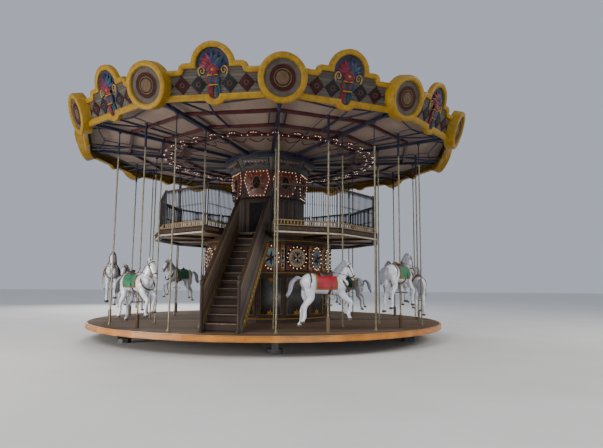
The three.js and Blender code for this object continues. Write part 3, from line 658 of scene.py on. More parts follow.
# %% Strings of bulbs
def bulbs(name, places, size):
    drop = [(0, 0.004), (size * 0.8, 0.006), (size, size), (size * 0.7, size * 1.8), (0, size * 2.1)]
    glass = spun("bulb", drop, 8, bulb_glass)
    cap = spun("bulb_cap", [(0, 0), (size * 1.15, 0), (size * 1.15, 0.006), (0, 0.006)], 8, brass)
    return settle(repeated(name, joined("bulb", glass, cap), places))

def facing_down(spot):
    return Matrix.Translation(spot) @ rotate(180, "X")

# %% [markdown]
# ## The canopy
# Two cloths close the canopy. The lining is stretched over the rails, and rises a little from the hub to the crown
# as the sweeps do; the roof canvas falls from the middle to the eave. Each is one continuous sheet with twelve
# flat slopes that sag a little. It is extruded ring by ring from a circle of points, and then gets the thickness
# of cloth.

# %% Heights of the sweeps
SWEEP_ROOT, SWEEP_Z, SLOPE = 1.3403, 5.05, 0.0575
sweep_under = lambda r: SWEEP_Z + (r - 1.34) * SLOPE
rail_seat = lambda r: sweep_under(r) + 0.07
lining_under = lambda r: sweep_under(r) + 0.1303
on_frame = lambda radius, azimuth, above=0.04: polar(radius, azimuth, sweep_under(radius) + above)

# %% Cloth sheets
def cloth(name, inner, outer, height, sag, thickness, finish, hem, rings=14, steps=96):
    """inner and outer are corner radii, height gives a level for a corner radius. hem is the step outwards and up
    of the strip that is nailed down all round."""
    random.seed(5)
    slack = [random.uniform(0.75, 1.15) for bay in range(12)]
    azimuths = [360 * step / steps for step in range(steps)]
    rows = []
    for share in spaced(0, 1, rings):
        corner = inner + (outer - inner) * share
        points = []
        for azimuth in azimuths:
            across = (azimuth % 30) / 30
            hang = sag * slack[int(azimuth // 30)] * 4 * across * (1 - across) * math.sin(math.pi * share) ** 0.7
            ripple = (0.004 * math.sin(share * 19 + azimuth) * math.sin(math.pi * share)
                      * min(1, 8 * across * (1 - across)))
            points.append(polar(twelve_sided(corner, azimuth), azimuth, height(corner) - hang + ripple))
        rows.append(points)
    rows.append([polar(twelve_sided(outer, azimuth) + hem[0], azimuth, height(outer) + hem[1])
                 for azimuth in azimuths])
    made = loft(name, rows, fill=False)
    modify(made, "SOLIDIFY", thickness=thickness, offset=0)
    return smooth(coat(made, finish), 50)

lining = cloth("canopy_lining_cloth", 1.24, 5.27, lambda r: lining_under(r) + 0.003, 0.016, 0.003, lining_canvas,
               (0.008, 0.02))
settle(lining, nodes=["canopy_lining"])
roof = cloth("roof_canvas_cloth", 0.34, 5.31, lambda r: 7.045 - 1.512 * (r - 0.34) / 4.97, 0.07, 0.004, roof_canvas,
             (0.012, -0.012))
settle(roof, nodes=["roof_cone"])
settle(spun("roof_cap", [(0, 7.0), (0.33, 7.0), (0.41, 7.018), (0.415, 7.03), (0.33, 7.056), (0.12, 7.075),
                         (0, 7.08)], 48, gold))
print("lining", len(lining.data.polygons), "faces, roof", len(roof.data.polygons))

# %% [markdown]
# ## Sweeps, rails and hanging rods
# The sweeps are rolled steel beams. A beam has one section all along, so its outline is given depth. The rails
# that tie the sweeps are closed loops of twelve straight lengths, laid on the sweeps.

# %% Sweeps
RAIL_INNER, RAIL_MIDDLE, RAIL_OUTER = 2.69, 3.32, 4.19
ROD_INNER, ROD_OUTER = 3.378, 4.5
I_SECTION = [(-0.04, 0), (0.04, 0), (0.04, 0.010), (0.008, 0.015), (0.008, 0.065), (0.04, 0.070), (0.04, 0.08),
             (-0.04, 0.08), (-0.04, 0.070), (-0.008, 0.065), (-0.008, 0.015), (-0.04, 0.010)]
sweep = plate("sweep", I_SECTION, 3.911, 0, navy, 0.0015)
stiffeners = repeated("stiffeners", plate("gusset", box(-0.035, 0.035, 0.010, 0.070), 0.006, -0.006, navy, 0.001),
                      [shift(0, 0, r - SWEEP_ROOT)
                       for r in (RAIL_INNER, RAIL_MIDDLE, ROD_INNER, RAIL_OUTER, ROD_OUTER, 5.0)])
sweep = joined("sweep", sweep, stiffeners)
for quarter in range(4):
    places = [wall(90 * quarter + 30 * k, SWEEP_ROOT, SWEEP_Z, -math.degrees(math.atan(SLOPE))) for k in range(3)]
    made = joined(f"sweeps_{quarter + 1:02d}", *[copied(sweep, "sweep", place) for place in places])
    settle(made, nodes=[f"sweep_frame_{quarter + 1:02d}"])
remove(sweep)

# %% Rails
def ring_rail(name, radius, half, low, high, finish, start=0, count=12):
    rings = [[polar(r, start + 360 / count * k, z) for r, z in box(radius - half, radius + half, low, high)]
             for k in range(count)]
    made = coat(loft(name, rings, closed=True), finish)
    return settle(smooth(modify(made, "BEVEL", width=0.004, segments=2)))

for name, radius in (("rail_inner", RAIL_INNER), ("rail_middle", RAIL_MIDDLE), ("rail_outer", RAIL_OUTER)):
    seat = rail_seat(radius - 0.03)
    ring_rail(name, radius, 0.031, seat - 0.022, seat + 0.0595, oxide)
ring_rail("hub_ring", 1.345, 0.018, 4.975, 5.105, navy, count=24)

# %% [markdown]
# The hanging rods tie the rotating platform to the sweeps. Each is a brass tube with a turned collar at both
# ends, spun from a single outline, and hangs from a thinner dark rod.

# %% Hanging rods
for stem, radius in (("inner", ROD_INNER), ("outer", ROD_OUTER)):
    top = sweep_under(radius)
    rod = spun("rod", [(0, PLATFORM_TOP), (0.05, PLATFORM_TOP), (0.05, 0.452), (0.030, 0.462), (0.027, 0.50),
                       (0.018, 0.51), (0.018, 4.60), (0.025, 4.61), (0.025, 4.645), (0, 4.65)], 14, brass)
    hanger = spun("hanger", [(0, 4.64), (0.013, 4.64), (0.013, top - 0.05), (0.03, top - 0.04),
                             (0.045, top - 0.012), (0.045, top), (0, top)], 12, navy)
    places = [Matrix.Translation(polar(radius, 30 * k)) for k in range(12)]
    settle(repeated(f"hanging_rods_{stem}", joined("rod", rod, hanger), places))

# %% [markdown]
# Scalloped boards hang under the sweeps between the two inner rails and carry strings of bulbs. A bow is a flat
# section lofted along a curve. Dark struts and braces stiffen the outer bays.

# %% Festoon boards
UP = Vector((0, 0, 1))

def swept(path, across, thick, finish):
    """A flat strip along a path; its width lies level."""
    rings = []
    for i, spot in enumerate(path):
        side = heading(path, i).cross(UP).normalized() * across / 2
        lift = UP * thick / 2
        rings.append([spot - side - lift, spot + side - lift, spot + side + lift, spot - side + lift])
    return coat(loft("strip", rings), finish)

def bow(azimuth, width, low, high, steps=8):
    radii = [low + (high - low) * math.sin(math.pi * share) for share in spaced(0, 1, steps)]
    return [on_frame(radius, azimuth + width * i / steps, -0.013) for i, radius in enumerate(radii)]

strips, lights = [], []
for number in range(36):
    path = bow(10 * number - 4.7, 9.4, 2.80, 3.14)
    strips += [swept(path, 0.095, 0.024, oxide),
               swept(bow(10 * number - 4.2, 8.4, 2.62, 2.38), 0.03, 0.016, oxide)]
    lights += [facing_down(spot - 0.012 * UP) for spot in path[1:-1:2] + path[4:5]]
settle(joined("festoon_boards", *strips))
bulbs("festoon_bulbs", lights, 0.0075)
lights = []
for bay in BAYS:
    for radius, away in ((RAIL_MIDDLE, -4), (RAIL_MIDDLE, 5), (RAIL_OUTER, -3), (RAIL_OUTER, 4), (RAIL_INNER, 0)):
        lights.append(facing_down(polar(twelve_sided(radius, 15 + away), middle_of(bay) + away,
                                        rail_seat(radius - 0.03))))
bulbs("canopy_bulbs", lights, 0.010)

# %% Struts, ties and braces
def strut(start, stop, radius, sides=6):
    """Each end is (radius, azimuth, height over the underside of the sweeps)."""
    return bar("strut", on_frame(*start), on_frame(*stop), radius, navy, sides)

braces = []
for bay in BAYS:
    azimuth = middle_of(bay)
    away = -5.5 if math.sin(math.radians(azimuth)) < 0 else 5.5
    inner, outer = twelve_sided(RAIL_MIDDLE, 15 + away), twelve_sided(RAIL_OUTER, 15 + away)
    braces.append(strut((inner, azimuth + away, 0.08), (outer, azimuth + away, 0.08), 0.028, 8))
    for side in (-1, 1):
        vee_end = polar(5.10, azimuth + away + side * 3.2, 5.20)
        braces += [bar("vee", on_frame(outer, azimuth + away, 0.06), vee_end, 0.024, navy, 6),
                   strut((3.32, azimuth + side * 11.8, 0.09), (4.14, azimuth + side * 12.3, 0.09), 0.016),
                   strut((5.06, azimuth + side * 14.4, 0.03), (4.72, azimuth + side * 0.4, 0.03), 0.020)]
    braces.append(strut((4.72, azimuth - 0.6, 0.03), (4.72, azimuth + 0.6, 0.03), 0.019))
for number in range(12):
    for side in (-1, 1):
        path = [on_frame(4.62 + 0.50 * share, 30 * number + side * (0.5 + 3.4 * share ** 2), 0.03)
                for share in spaced(0, 1, 6)]
        braces.append(swept(path, 0.02, 0.035, navy))
settle(joined("canopy_braces", *braces))

# %% [markdown]
# Above each horse a shaft runs in bearings under the rails, and a guide tube keeps the pole upright.

# %% Shafts, bearings and guide tubes
tube = spun("tube", [(0.0235, 4.64), (0.031, 4.64), (0.031, 4.655), (0.0275, 4.665), (0.0275, 5.20),
                     (0.034, 5.205), (0.034, 5.24), (0.0235, 5.24)], 16, navy)
tubes = repeated("guide_tubes", tube, [Matrix.Translation(polar(HORSE_R, middle_of(bay))) for bay in HORSE_BAYS])
bearing = plate("bearing", [(-0.04, 0), (0.04, 0), (0.04, -0.012), (0.024, -0.018), (0.020, -0.046),
                            (-0.020, -0.046), (-0.024, -0.018), (-0.04, -0.012)], 0.03, -0.03, steel, 0.002)
parts = []
for bay in HORSE_BAYS:
    azimuth = middle_of(bay)
    for start, stop in ((1.36, HORSE_R - 0.035), (HORSE_R + 0.035, 4.72)):
        parts.append(strut((start, azimuth), (stop, azimuth), 0.011, 8))
    for corner in (RAIL_INNER, RAIL_MIDDLE, RAIL_OUTER):
        place = wall(azimuth, flat_radius(corner, 12), rail_seat(corner - 0.03))
        parts.append(copied(bearing, "bearing", place))
remove(bearing)
settle(joined("crank_shafts", *parts))
settle(tubes)

# %% [markdown]
# ## The horses
# A carousel horse is carved from blocks that are glued up roughly and then smoothed into one body. The same is
# done here: trunk, neck, head and legs are lofts through oval stations, a voxel remesh glues them into one skin,
# and a smoothing pass rounds the joints. Harness, saddle and hair are separate pieces on that skin.

# %% Curves and ovals
def rounded(stations, steps=3):
    """More stations on a smooth curve through the given ones."""
    made = []
    for i in range(len(stations) - 1):
        a, b, c, d = (stations[min(max(i + k, 0), len(stations) - 1)] for k in (-1, 0, 1, 2))
        for step in range(steps):
            t = step / steps
            made.append(tuple(0.5 * (2 * q + (r - p) * t + (2 * p - 5 * q + 4 * r - s) * t * t
                                     + (3 * q - p - 3 * r + s) * t ** 3) for p, q, r, s in zip(a, b, c, d)))
    return made + [stations[-1]]

def ovals(stations, side=0.0, lift=0.0):
    """One oval of sixteen points for each station, square to the line that the stations follow."""
    rings = []
    for i, (x, z, tall, wide) in enumerate(stations):
        before, after = stations[max(i - 1, 0)], stations[min(i + 1, len(stations) - 1)]
        along = Vector((after[0] - before[0], 0, after[1] - before[1])).normalized()
        centre, up = Vector((x, side, z + lift)), Vector((-along.z, 0, along.x))
        rings.append([centre + up * tall * math.sin(a) + Vector((0, wide * math.cos(a), 0)) for a in circle(16)])
    return rings

# %% Stations of the body: place along, height, half-height and half-width
TRUNK = [(-0.64, 1.46, 0.04, 0.04), (-0.60, 1.47, 0.12, 0.11), (-0.52, 1.475, 0.19, 0.165),
         (-0.42, 1.475, 0.215, 0.185), (-0.28, 1.46, 0.205, 0.18), (-0.10, 1.445, 0.20, 0.18),
         (0.08, 1.44, 0.215, 0.185), (0.22, 1.445, 0.225, 0.18), (0.33, 1.45, 0.19, 0.15), (0.40, 1.45, 0.12, 0.10),
         (0.43, 1.45, 0.05, 0.05)]
NECK = [(0.16, 1.50, 0.19, 0.11), (0.26, 1.62, 0.165, 0.095), (0.34, 1.74, 0.13, 0.08), (0.41, 1.84, 0.10, 0.068),
        (0.45, 1.90, 0.085, 0.062)]
HEAD = [(0.40, 1.90, 0.05, 0.045), (0.45, 1.87, 0.085, 0.065), (0.50, 1.79, 0.088, 0.068),
        (0.545, 1.71, 0.07, 0.055), (0.585, 1.64, 0.055, 0.046), (0.615, 1.585, 0.052, 0.048),
        (0.63, 1.555, 0.03, 0.035)]
FORELEG = [(0.24, 1.40, 0.11, 0.06), (0.30, 1.28, 0.085, 0.055), (0.42, 1.17, 0.06, 0.045),
           (0.50, 1.11, 0.05, 0.042), (0.47, 0.98, 0.036, 0.03), (0.44, 0.87, 0.04, 0.034),
           (0.455, 0.82, 0.034, 0.03), (0.47, 0.775, 0.048, 0.045), (0.475, 0.75, 0.052, 0.048)]
HINDLEG = [(-0.42, 1.42, 0.16, 0.085), (-0.46, 1.26, 0.12, 0.07), (-0.44, 1.12, 0.08, 0.055),
           (-0.55, 0.98, 0.055, 0.042), (-0.57, 0.86, 0.038, 0.032), (-0.575, 0.74, 0.042, 0.034),
           (-0.60, 0.69, 0.035, 0.03), (-0.62, 0.64, 0.048, 0.045), (-0.625, 0.615, 0.052, 0.048)]
LEGS = [(FORELEG, 0.095, 0.04), (FORELEG, -0.095, -0.04), (HINDLEG, 0.095, -0.04), (HINDLEG, -0.095, 0.04)]
MUSCLES = [(0.24, 1.42, 0.10, 0.13), (-0.42, 1.46, 0.105, 0.15), (0.475, 1.815, 0.035, 0.062),
           (0.36, 1.47, 0.055, 0.095)]

# %% One skin
parts = [loft("block", ovals(rounded(stations))) for stations in (TRUNK, NECK, HEAD)]
parts += [loft("leg", ovals(rounded(stations), side, lift)) for stations, side, lift in LEGS]
for x, z, side, size in MUSCLES:
    stations = [(x + size * math.cos(a), z - 0.25 * size * math.cos(a), size * math.sin(a) + 0.002,
                 0.6 * size * math.sin(a) + 0.002) for a in spaced(0, math.pi, 8)]
    parts += [loft("muscle", ovals(stations, sign * side)) for sign in (-1, 1)]
skin = joined("horse_skin", *parts)
modify(skin, "REMESH", mode="VOXEL", voxel_size=0.011)
modify(skin, "SMOOTH", factor=0.5, iterations=7)
modify(skin, "DECIMATE", ratio=0.42)
horse_white = enamel("white_horse_enamel", (0.76, 0.78, 0.84), (0.46, 0.48, 0.55), 5, 0.2, coat=0.6, specks=0.2)
coat(skin, horse_white)
bpy.ops.object.shade_smooth()
print("skin", len(skin.data.polygons), "faces")

# %% [markdown]
# Hair is carved in locks. A lock is a tapering oval, lofted along a curve that falls from the crest of the neck.
# The tail is a sheaf of longer locks.

# %% Mane and tail
hair_finish = enamel("grey_hair_enamel", (0.36, 0.37, 0.42), (0.12, 0.13, 0.16), 24, 0.35, specks=0.6, depth=0.004)

def lock(points, wide, thick):
    path = [Vector(p) for p in rounded(points, 4)]
    rings = []
    for i, spot in enumerate(path):
        along = heading(path, i)
        out = Vector((0, 1, 0)).cross(along).normalized()
        flat = along.cross(out).normalized()
        swell = math.sin(math.pi * (0.14 + 0.83 * i / (len(path) - 1))) + 0.05
        rings.append([spot + out * wide * swell * math.cos(a) + flat * thick * swell * math.sin(a)
                      for a in circle(8)])
    return lofted("lock", rings, hair_finish, 60)

locks = []
for i, share in enumerate(spaced(0, 1, 10)):
    x, z = 0.42 - 0.31 * share, 1.965 - 0.315 * share
    for side in (-1, 1):
        fall = 0.16 + 0.05 * math.sin(3 * i) + (0.04 if side > 0 else -0.03)
        locks.append(lock([(x + 0.015, side * 0.012, z + 0.012), (x - 0.045, side * (0.05 + 0.02 * share), z - 0.015),
                           (x - 0.035, side * (0.082 + 0.035 * share), z - fall * 0.55),
                           (x - 0.075 - 0.02 * (i % 3), side * (0.09 + 0.04 * share), z - fall)], 0.034, 0.014))
locks.append(lock([(0.43, 0, 1.965), (0.485, 0.008, 1.945), (0.525, 0.012, 1.88), (0.54, 0.0, 1.82)], 0.022, 0.012))
for i, spread in enumerate(spaced(-1, 1, 8)):
    locks.append(lock([(-0.60, 0.012 * spread, 1.565), (-0.72, 0.03 * spread, 1.60 - 0.02 * abs(spread)),
                       (-0.83, 0.06 * spread, 1.48), (-0.87, 0.07 * spread, 1.32),
                       (-0.93 + 0.02 * math.cos(5 * i), 0.05 * spread, 1.17 + 0.04 * abs(spread))], 0.030, 0.022))
hair = joined("horse_hair", *locks)

# %% [markdown]
# Straps follow the skin: each is a closed band, lofted round the same ovals as the body and a few millimetres
# larger. The blanket is a saddle-shaped shell with a golden edge, and the saddle a padded seat between two
# raised ends.

# %% Straps
leather = enamel("dark_harness_leather", (0.085, 0.045, 0.035), (0.022, 0.012, 0.012), 18, 0.4)
hoof_finish = enamel("hoof_enamel", (0.11, 0.075, 0.055), (0.03, 0.02, 0.017), 14, 0.3)

def band(centre, along, tall, wide, width, thick):
    """A strap round an oval whose axis is along."""
    along = Vector(along).normalized()
    up = Vector((0, 1, 0)).cross(along).normalized()
    if up.z < 0:
        up = -up
    rings = []
    for a in circle(28):
        out = (up * math.sin(a) * wide + Vector((0, math.cos(a) * tall, 0))).normalized()
        spot = Vector(centre) + up * tall * math.sin(a) + Vector((0, wide * math.cos(a), 0))
        rings.append([spot + along * s * width / 2 + out * t * thick for s, t in box(-1, 1, -0.4, 0.6)])
    return lofted("strap", rings, leather, 40, closed=True)

def tube_along(points, radius, finish, count=8, steps=4):
    path = [Vector(p) for p in rounded(points, steps)]
    side = heading(path, 0).orthogonal()
    rings = []
    for i, spot in enumerate(path):
        along = heading(path, i)
        side = (side - along * side.dot(along)).normalized()
        other = along.cross(side)
        rings.append([spot + (side * math.cos(a) + other * math.sin(a)) * radius for a in circle(count)])
    return lofted("tube", rings, finish, 50)

straps = [band((-0.02, 0, 1.442), (1, 0, 0), 0.212, 0.189, 0.05, 0.008),
          band((0.335, 0, 1.46), (0.8, 0, 0.6), 0.205, 0.168, 0.045, 0.008),
          band((0.588, 0, 1.635), (0.5, 0, -0.87), 0.064, 0.055, 0.022, 0.006),
          band((0.452, 0, 1.865), (0.6, 0, -0.8), 0.098, 0.076, 0.022, 0.006),
          band((-0.47, 0, 1.475), (1, 0, -0.1), 0.214, 0.186, 0.035, 0.008)]
CHEEK = [(0.455, 0.078, 1.85), (0.515, 0.076, 1.76), (0.582, 0.056, 1.64), (0.615, 0.052, 1.58)]
REIN = [(0.612, 0.054, 1.585), (0.52, 0.105, 1.60), (0.36, 0.135, 1.66), (0.16, 0.10, 1.70), (0.05, 0.03, 1.715)]
STIRRUP_STRAP = [(-0.02, 0.185, 1.52), (-0.01, 0.215, 1.42), (0.0, 0.215, 1.26)]
for side in (-1, 1):
    for points, radius in ((CHEEK, 0.008), (REIN, 0.007), (STIRRUP_STRAP, 0.009)):
        straps.append(tube_along([(x, side * y, z) for x, y, z in points], radius, leather))
tack = joined("horse_tack", *straps)

# %% Rosettes, stirrups, eyes and ears
fittings = []
for x, y, z in ((0.452, 0.079, 1.85), (0.345, 0.16, 1.45), (0.615, 0.052, 1.582)):
    for side in (1, -1):
        rosette = spun("rosette", [(0, 0), (0.024, 0), (0.024, 0.006), (0.014, 0.012), (0, 0.014)], 14, gold)
        fittings.append(moved(rosette, shift(x, side * y, z) @ rotate(-90 * side, "X")))
for side in (-1, 1):
    bow_points = [(0.055 * math.sin(a), side * 0.215, 1.20 + 0.06 * math.cos(a))
                  for a in (math.radians(-150 + 30 * k) for k in range(11))]
    step = plate("step", box(-0.035, 0.035, -0.016, 0.016), 0.005, -0.005, brass, 0.002)
    fittings += [tube_along(bow_points, 0.007, brass, 6, 2), moved(step, shift(0, side * 0.215, 1.148))]
for side in (-1, 1):
    eye = spun("eye", [(0, -0.012), (0.014, -0.008), (0.018, 0), (0.014, 0.008), (0, 0.012)], 14, black)
    nostril = spun("nostril", [(0, -0.006), (0.009, -0.004), (0.011, 0), (0.007, 0.004), (0, 0.005)], 10, black)
    fittings += [moved(eye, shift(0.492, side * 0.066, 1.835) @ rotate(90, "X")),
                 moved(nostril, shift(0.634, side * 0.034, 1.585) @ rotate(90, "X") @ rotate(side * 35, "Y"))]
for side in (-1, 1):
    place = shift(0.425, side * 0.042, 1.925) @ rotate(side * 12, "X") @ rotate(90, "X") @ rotate(6)
    fittings.append(moved(leaf(0.115, 0.05, horse_white), place))
fittings = joined("horse_fittings", *fittings)
print("tack", len(tack.data.polygons), "faces, fittings", len(fittings.data.polygons))

# %% Hooves
hooves = []
for stations, side, lift in LEGS:
    (x0, z0, tall0, wide0), (x1, z1, tall1, wide1) = stations[-2], stations[-1]
    ring = [(x0, z0 + 0.012, tall0 * 0.98, wide0 * 0.98), (x0, z0, tall0 + 0.004, wide0 + 0.004),
            (x1, z1, tall1 + 0.006, wide1 + 0.006), (x1 + 0.001, z1 - 0.004, tall1 - 0.004, wide1 - 0.004)]
    hooves.append(lofted("hoof", ovals(ring, side, lift), hoof_finish, 40))
hoof_set = joined("horse_hooves", *hooves)

# %% Blanket and saddle
def trunk_at(x):
    """Height, half-height and half-width of the trunk at a place along it."""
    rows = rounded(TRUNK)
    for a, b in zip(rows, rows[1:]):
        if a[0] <= x <= b[0]:
            t = (x - a[0]) / (b[0] - a[0])
            return [p + (q - p) * t for p, q in zip(a[1:], b[1:])]

def shell(start, stop, low, grow, thick, finish, steps=10):
    """A cover over the back: from the same low edge on one side to the other."""
    rings = []
    for i, x in enumerate(spaced(start, stop, steps)):
        z, tall, wide = trunk_at(x)
        edge = math.asin(max(-0.95, min(0.95, (low - z) / (tall + grow))))
        angles = spaced(edge, math.pi - edge, 14)
        flare = 0.006 * (1 - math.sin(math.pi * i / steps))
        rings.append([Vector((x, (wide + grow + thick + flare) * math.cos(a), z + (tall + grow + thick) * math.sin(a)))
                      for a in angles]
                     + [Vector((x, (wide + grow) * math.cos(a), z + (tall + grow) * math.sin(a)))
                        for a in reversed(angles)])
    return lofted("shell", rings, finish, 45)

def cover(finish):
    parts = [shell(-0.34, 0.13, 1.35, 0.008, 0.012, finish)]
    parts += [shell(x - 0.012, x + 0.012, 1.345, 0.012, 0.014, gold, 2) for x in (-0.335, 0.125)]
    for side in (-1, 1):
        path = []
        for x in spaced(-0.34, 0.13, 8):
            z, tall, wide = trunk_at(x)
            path.append((x, side * (wide + 0.02) * math.cos(math.asin((1.355 - z) / tall)), 1.352))
        parts.append(tube_along(path, 0.012, gold, 8, 2))
    return joined("blanket", *parts)

saddle_rings = []
for i, x in enumerate(spaced(-0.24, 0.07, 12)):
    z, tall, wide = trunk_at(x)
    rise = 0.065 * (abs(i - 5.5) / 6.5) ** 2.2
    half = 0.115 - 0.03 * (i / 12) + (0.01 if i in (0, 12) else 0)
    droop = [0.05 * math.cos(a) ** 2 * (1 if math.sin(a) <= 0 else 0.9) for a in circle(16)]
    saddle_rings.append([Vector((x, half * math.cos(a), z + tall + 0.024 + (0.026 + rise) * math.sin(a) - drop))
                         for a, drop in zip(circle(16), droop)])
saddle = lofted("horse_saddle", saddle_rings, leather, 50)
covers = [cover(enamel(f"{name}_blanket_enamel", light, dark, 9, 0.4)) for name, light, dark in (
    ("red", (0.42, 0.014, 0.026), (0.19, 0.008, 0.014)), ("green", (0.015, 0.20, 0.085), (0.008, 0.08, 0.04)),
    ("blue", (0.022, 0.06, 0.24), (0.010, 0.022, 0.09)))]

# %% [markdown]
# The pole is a brass tube rolled with a twist. Its section has three soft lobes that turn a little from ring to
# ring, and foot pegs cross it below the horse.

# %% Twisted pole
def twisted(low, high, steps):
    rings = []
    for z in spaced(low, high, steps):
        radii = [0.0185 + 0.0018 * math.cos(3 * (a - 9 * z)) for a in circle(12)]
        rings.append([Vector((radius * math.cos(a), radius * math.sin(a), z)) for a, radius in zip(circle(12), radii)])
    return lofted("pole", rings, brass, 60)

pole = joined("horse_pole", twisted(0.46, 4.70, 110),
              spun("collar", [(0.02, 1.66), (0.045, 1.66), (0.045, 1.69), (0.03, 1.71), (0.02, 1.71)], 16, brass),
              spun("collar", [(0.02, 1.19), (0.04, 1.20), (0.045, 1.225), (0.045, 1.25), (0.02, 1.25)], 16, brass),
              bar("pegs", (0, -0.19, 1.02), (0, 0.19, 1.02), 0.014, brass, 10,
                  ((0, 1.5), (0.03, 1.6), (0.06, 1), (0.94, 1), (0.97, 1.6), (1, 1.5))),
              spun("shoe", [(0.0, 0.458), (0.025, 0.458), (0.026, 0.50), (0.02, 0.52), (0, 0.52)], 14, brass))

# %% Eleven horses
STROKE = 0.26
for bay in HORSE_BAYS:
    place = rotate(middle_of(bay)) @ shift(0, -HORSE_R, STROKE if bay % 2 else 0)
    rider = f"rider_{bay:02d}"
    settle(copied(skin, f"horse_skin_{bay:02d}", place), rider, [f"horse_{bay:02d}"])
    for master, stem in ((hair, "hair"), (tack, "tack"), (fittings, "fittings"), (hoof_set, "hooves"),
                         (covers[(bay - 2) % 3], "blanket"), (saddle, "saddle")):
        settle(copied(master, f"horse_{stem}_{bay:02d}", place), rider)
    settle(copied(pole, f"horse_pole_{bay:02d}", place), rider)
remove(skin, hair, tack, fittings, hoof_set, saddle, pole, *covers)

# %% [markdown]
# ## The centre drum
# The drum has sixteen flat sides. Above eye level, wide square panels with a ring of bulbs round a painted
# star alternate with narrower panels between golden pilasters. Below them stand framed dark mirrors. Every panel
# is made once, flat, and copied to its sides.

# %% Frames, discs and stars
def frame_of(half_x, low, high, width, proud, finish):
    """A rounded picture-frame moulding round a rectangle."""
    section = ((0, 0), (0, 0.5), (0.25, 1), (0.75, 1), (1, 0.5), (1, 0))
    rings = [[(sx * (half_x - t * width), y - sy * t * width, h * proud) for t, h in section]
             for sx, y, sy in ((1, low, -1), (1, high, 1), (-1, high, 1), (-1, low, -1))]
    return lofted("frame", rings, finish, 40, closed=True)

def disc(radius, low, high, finish, x=0.0, y=0.0, inner=0.0, steps=36, squeeze=1.0):
    edge = min(0.004, (high - low) / 2)
    profile = [(inner, low), (radius, low), (radius, high - edge), (radius - edge, high)]
    profile += [(inner + edge, high), (inner, high - edge)] if inner else [(inner, high)]
    return moved(spun("disc", profile, steps, finish), shift(x, y) @ Matrix.Diagonal((squeeze, 1, 1, 1)))

def star(y, base, reach, width, finishes, points):
    return [moved(leaf(reach, width, finishes[k % len(finishes)], 6), shift(0, y, base) @ rotate(360 * k / points))
            for k in range(points)]

sky = enamel("sky_blue_enamel", (0.24, 0.34, 0.40), (0.08, 0.12, 0.17), 12, 0.35)
amber = enamel("amber_enamel", (0.30, 0.10, 0.018), (0.12, 0.032, 0.008), 12, 0.45)
mottled = enamel("mottled_red_enamel", (0.15, 0.036, 0.024), (0.045, 0.010, 0.009), 22, 0.45, specks=0.5)

# %% Wide and narrow panels
PANEL_LOW, PANEL_HIGH, MIDDLE = 1.80, 2.49, 2.145
wide = [plate("panel", box(-0.335, 0.335, PANEL_LOW, PANEL_HIGH), 0.016, 0.0, red_panel, 0.003),
        frame_of(0.345, 1.795, 2.495, 0.03, 0.034, dark_brown),
        disc(0.318, 0.014, 0.024, maroon, y=MIDDLE), disc(0.262, 0.020, 0.034, gold, y=MIDDLE, inner=0.238),
        disc(0.240, 0.018, 0.028, cream, y=MIDDLE), disc(0.165, 0.024, 0.034, sky, y=MIDDLE),
        disc(0.034, 0.036, 0.056, gold, y=MIDDLE)]
wide += star(MIDDLE, 0.034, 0.152, 0.055, (maroon, cream, teal, cream), 8)
wide += star(MIDDLE, 0.026, 0.228, 0.03, (amber,), 16)
wide_master = joined("wide_panel", *wide)
narrow = [plate("panel", box(-0.25, 0.25, PANEL_LOW, PANEL_HIGH), 0.012, 0.0, red_panel, 0.003),
          disc(0.275, 0.010, 0.030, gold, y=MIDDLE, inner=0.245, squeeze=0.66),
          disc(0.25, 0.010, 0.020, sky, y=MIDDLE, squeeze=0.66)]
narrow += star(MIDDLE - 0.02, 0.020, 0.20, 0.05, (teal, amber, maroon), 6)
for x in (-0.305, 0.305):
    narrow += [plate("pilaster", box(x - 0.045, x + 0.045, PANEL_LOW, PANEL_HIGH), 0.030, 0, cream, 0.004),
               plate("cap", [(x - 0.05, 2.40), (x + 0.05, 2.40), (x + 0.058, PANEL_HIGH), (x - 0.058, PANEL_HIGH)],
                     0.046, 0, gold, 0.006),
               plate("foot", [(x - 0.055, PANEL_LOW), (x + 0.055, PANEL_LOW), (x + 0.048, 1.87), (x - 0.048, 1.87)],
                     0.044, 0, gold, 0.006)]
    narrow += [moved(leaf(0.10, 0.055, (teal, amber)[k % 2], 5), shift(x, 1.89 + 0.098 * k, 0.028)) for k in range(5)]
narrow_master = joined("narrow_panel", *narrow)

# %% Lower panels
# The dark grey of the mirrors is painted reflection of the dark inside of the ride.
lower = [plate("mirror", box(-0.28, 0.28, 0.66, 1.60), 0.010, 0.0, mirror, 0.002),
         frame_of(0.325, 0.60, 1.66, 0.055, 0.03, dark_brown), frame_of(0.272, 0.653, 1.607, 0.012, 0.026, gold)]
for y, lean in ((0.66, 0), (1.60, 180)):
    for k in (-2, -1, 0, 1, 2):
        spray = leaf(0.15 - 0.025 * abs(k), 0.042, (gold, amber)[k % 2], 5)
        lower.append(moved(spray, shift(0, y, 0.010) @ rotate(lean - 38 * k)))
lower_master = joined("lower_panel", *lower)

# %% Set the drum's sides
upper, low_parts, lights = [], [], []
for side in range(16):
    place = wall(22.5 * side, flat_radius(1.83, 16), 0)
    master, half_x, half_y, proud = ((wide_master, 0.290, 0.290, 0.022) if side % 2
                                     else (narrow_master, 0.205, 0.305, 0.010))
    upper.append(copied(master, "side", place))
    low_parts.append(copied(lower_master, "side", place))
    lights += [place @ shift(half_x * math.cos(a), MIDDLE + half_y * math.sin(a), proud) for a in circle(16)]
settle(joined("drum_lit_panels", *upper))
settle(joined("drum_mirrors", *low_parts))
bulbs("drum_bulbs", lights, 0.010)
remove(wide_master, narrow_master, lower_master)
for name, height in (("drum_band_low", 1.745), ("drum_band_high", 2.60), ("drum_plinth_line", 0.55)):
    ring_rail(name, 1.866, 0.010, height - 0.012, height + 0.012, gold, 11.25, 16)

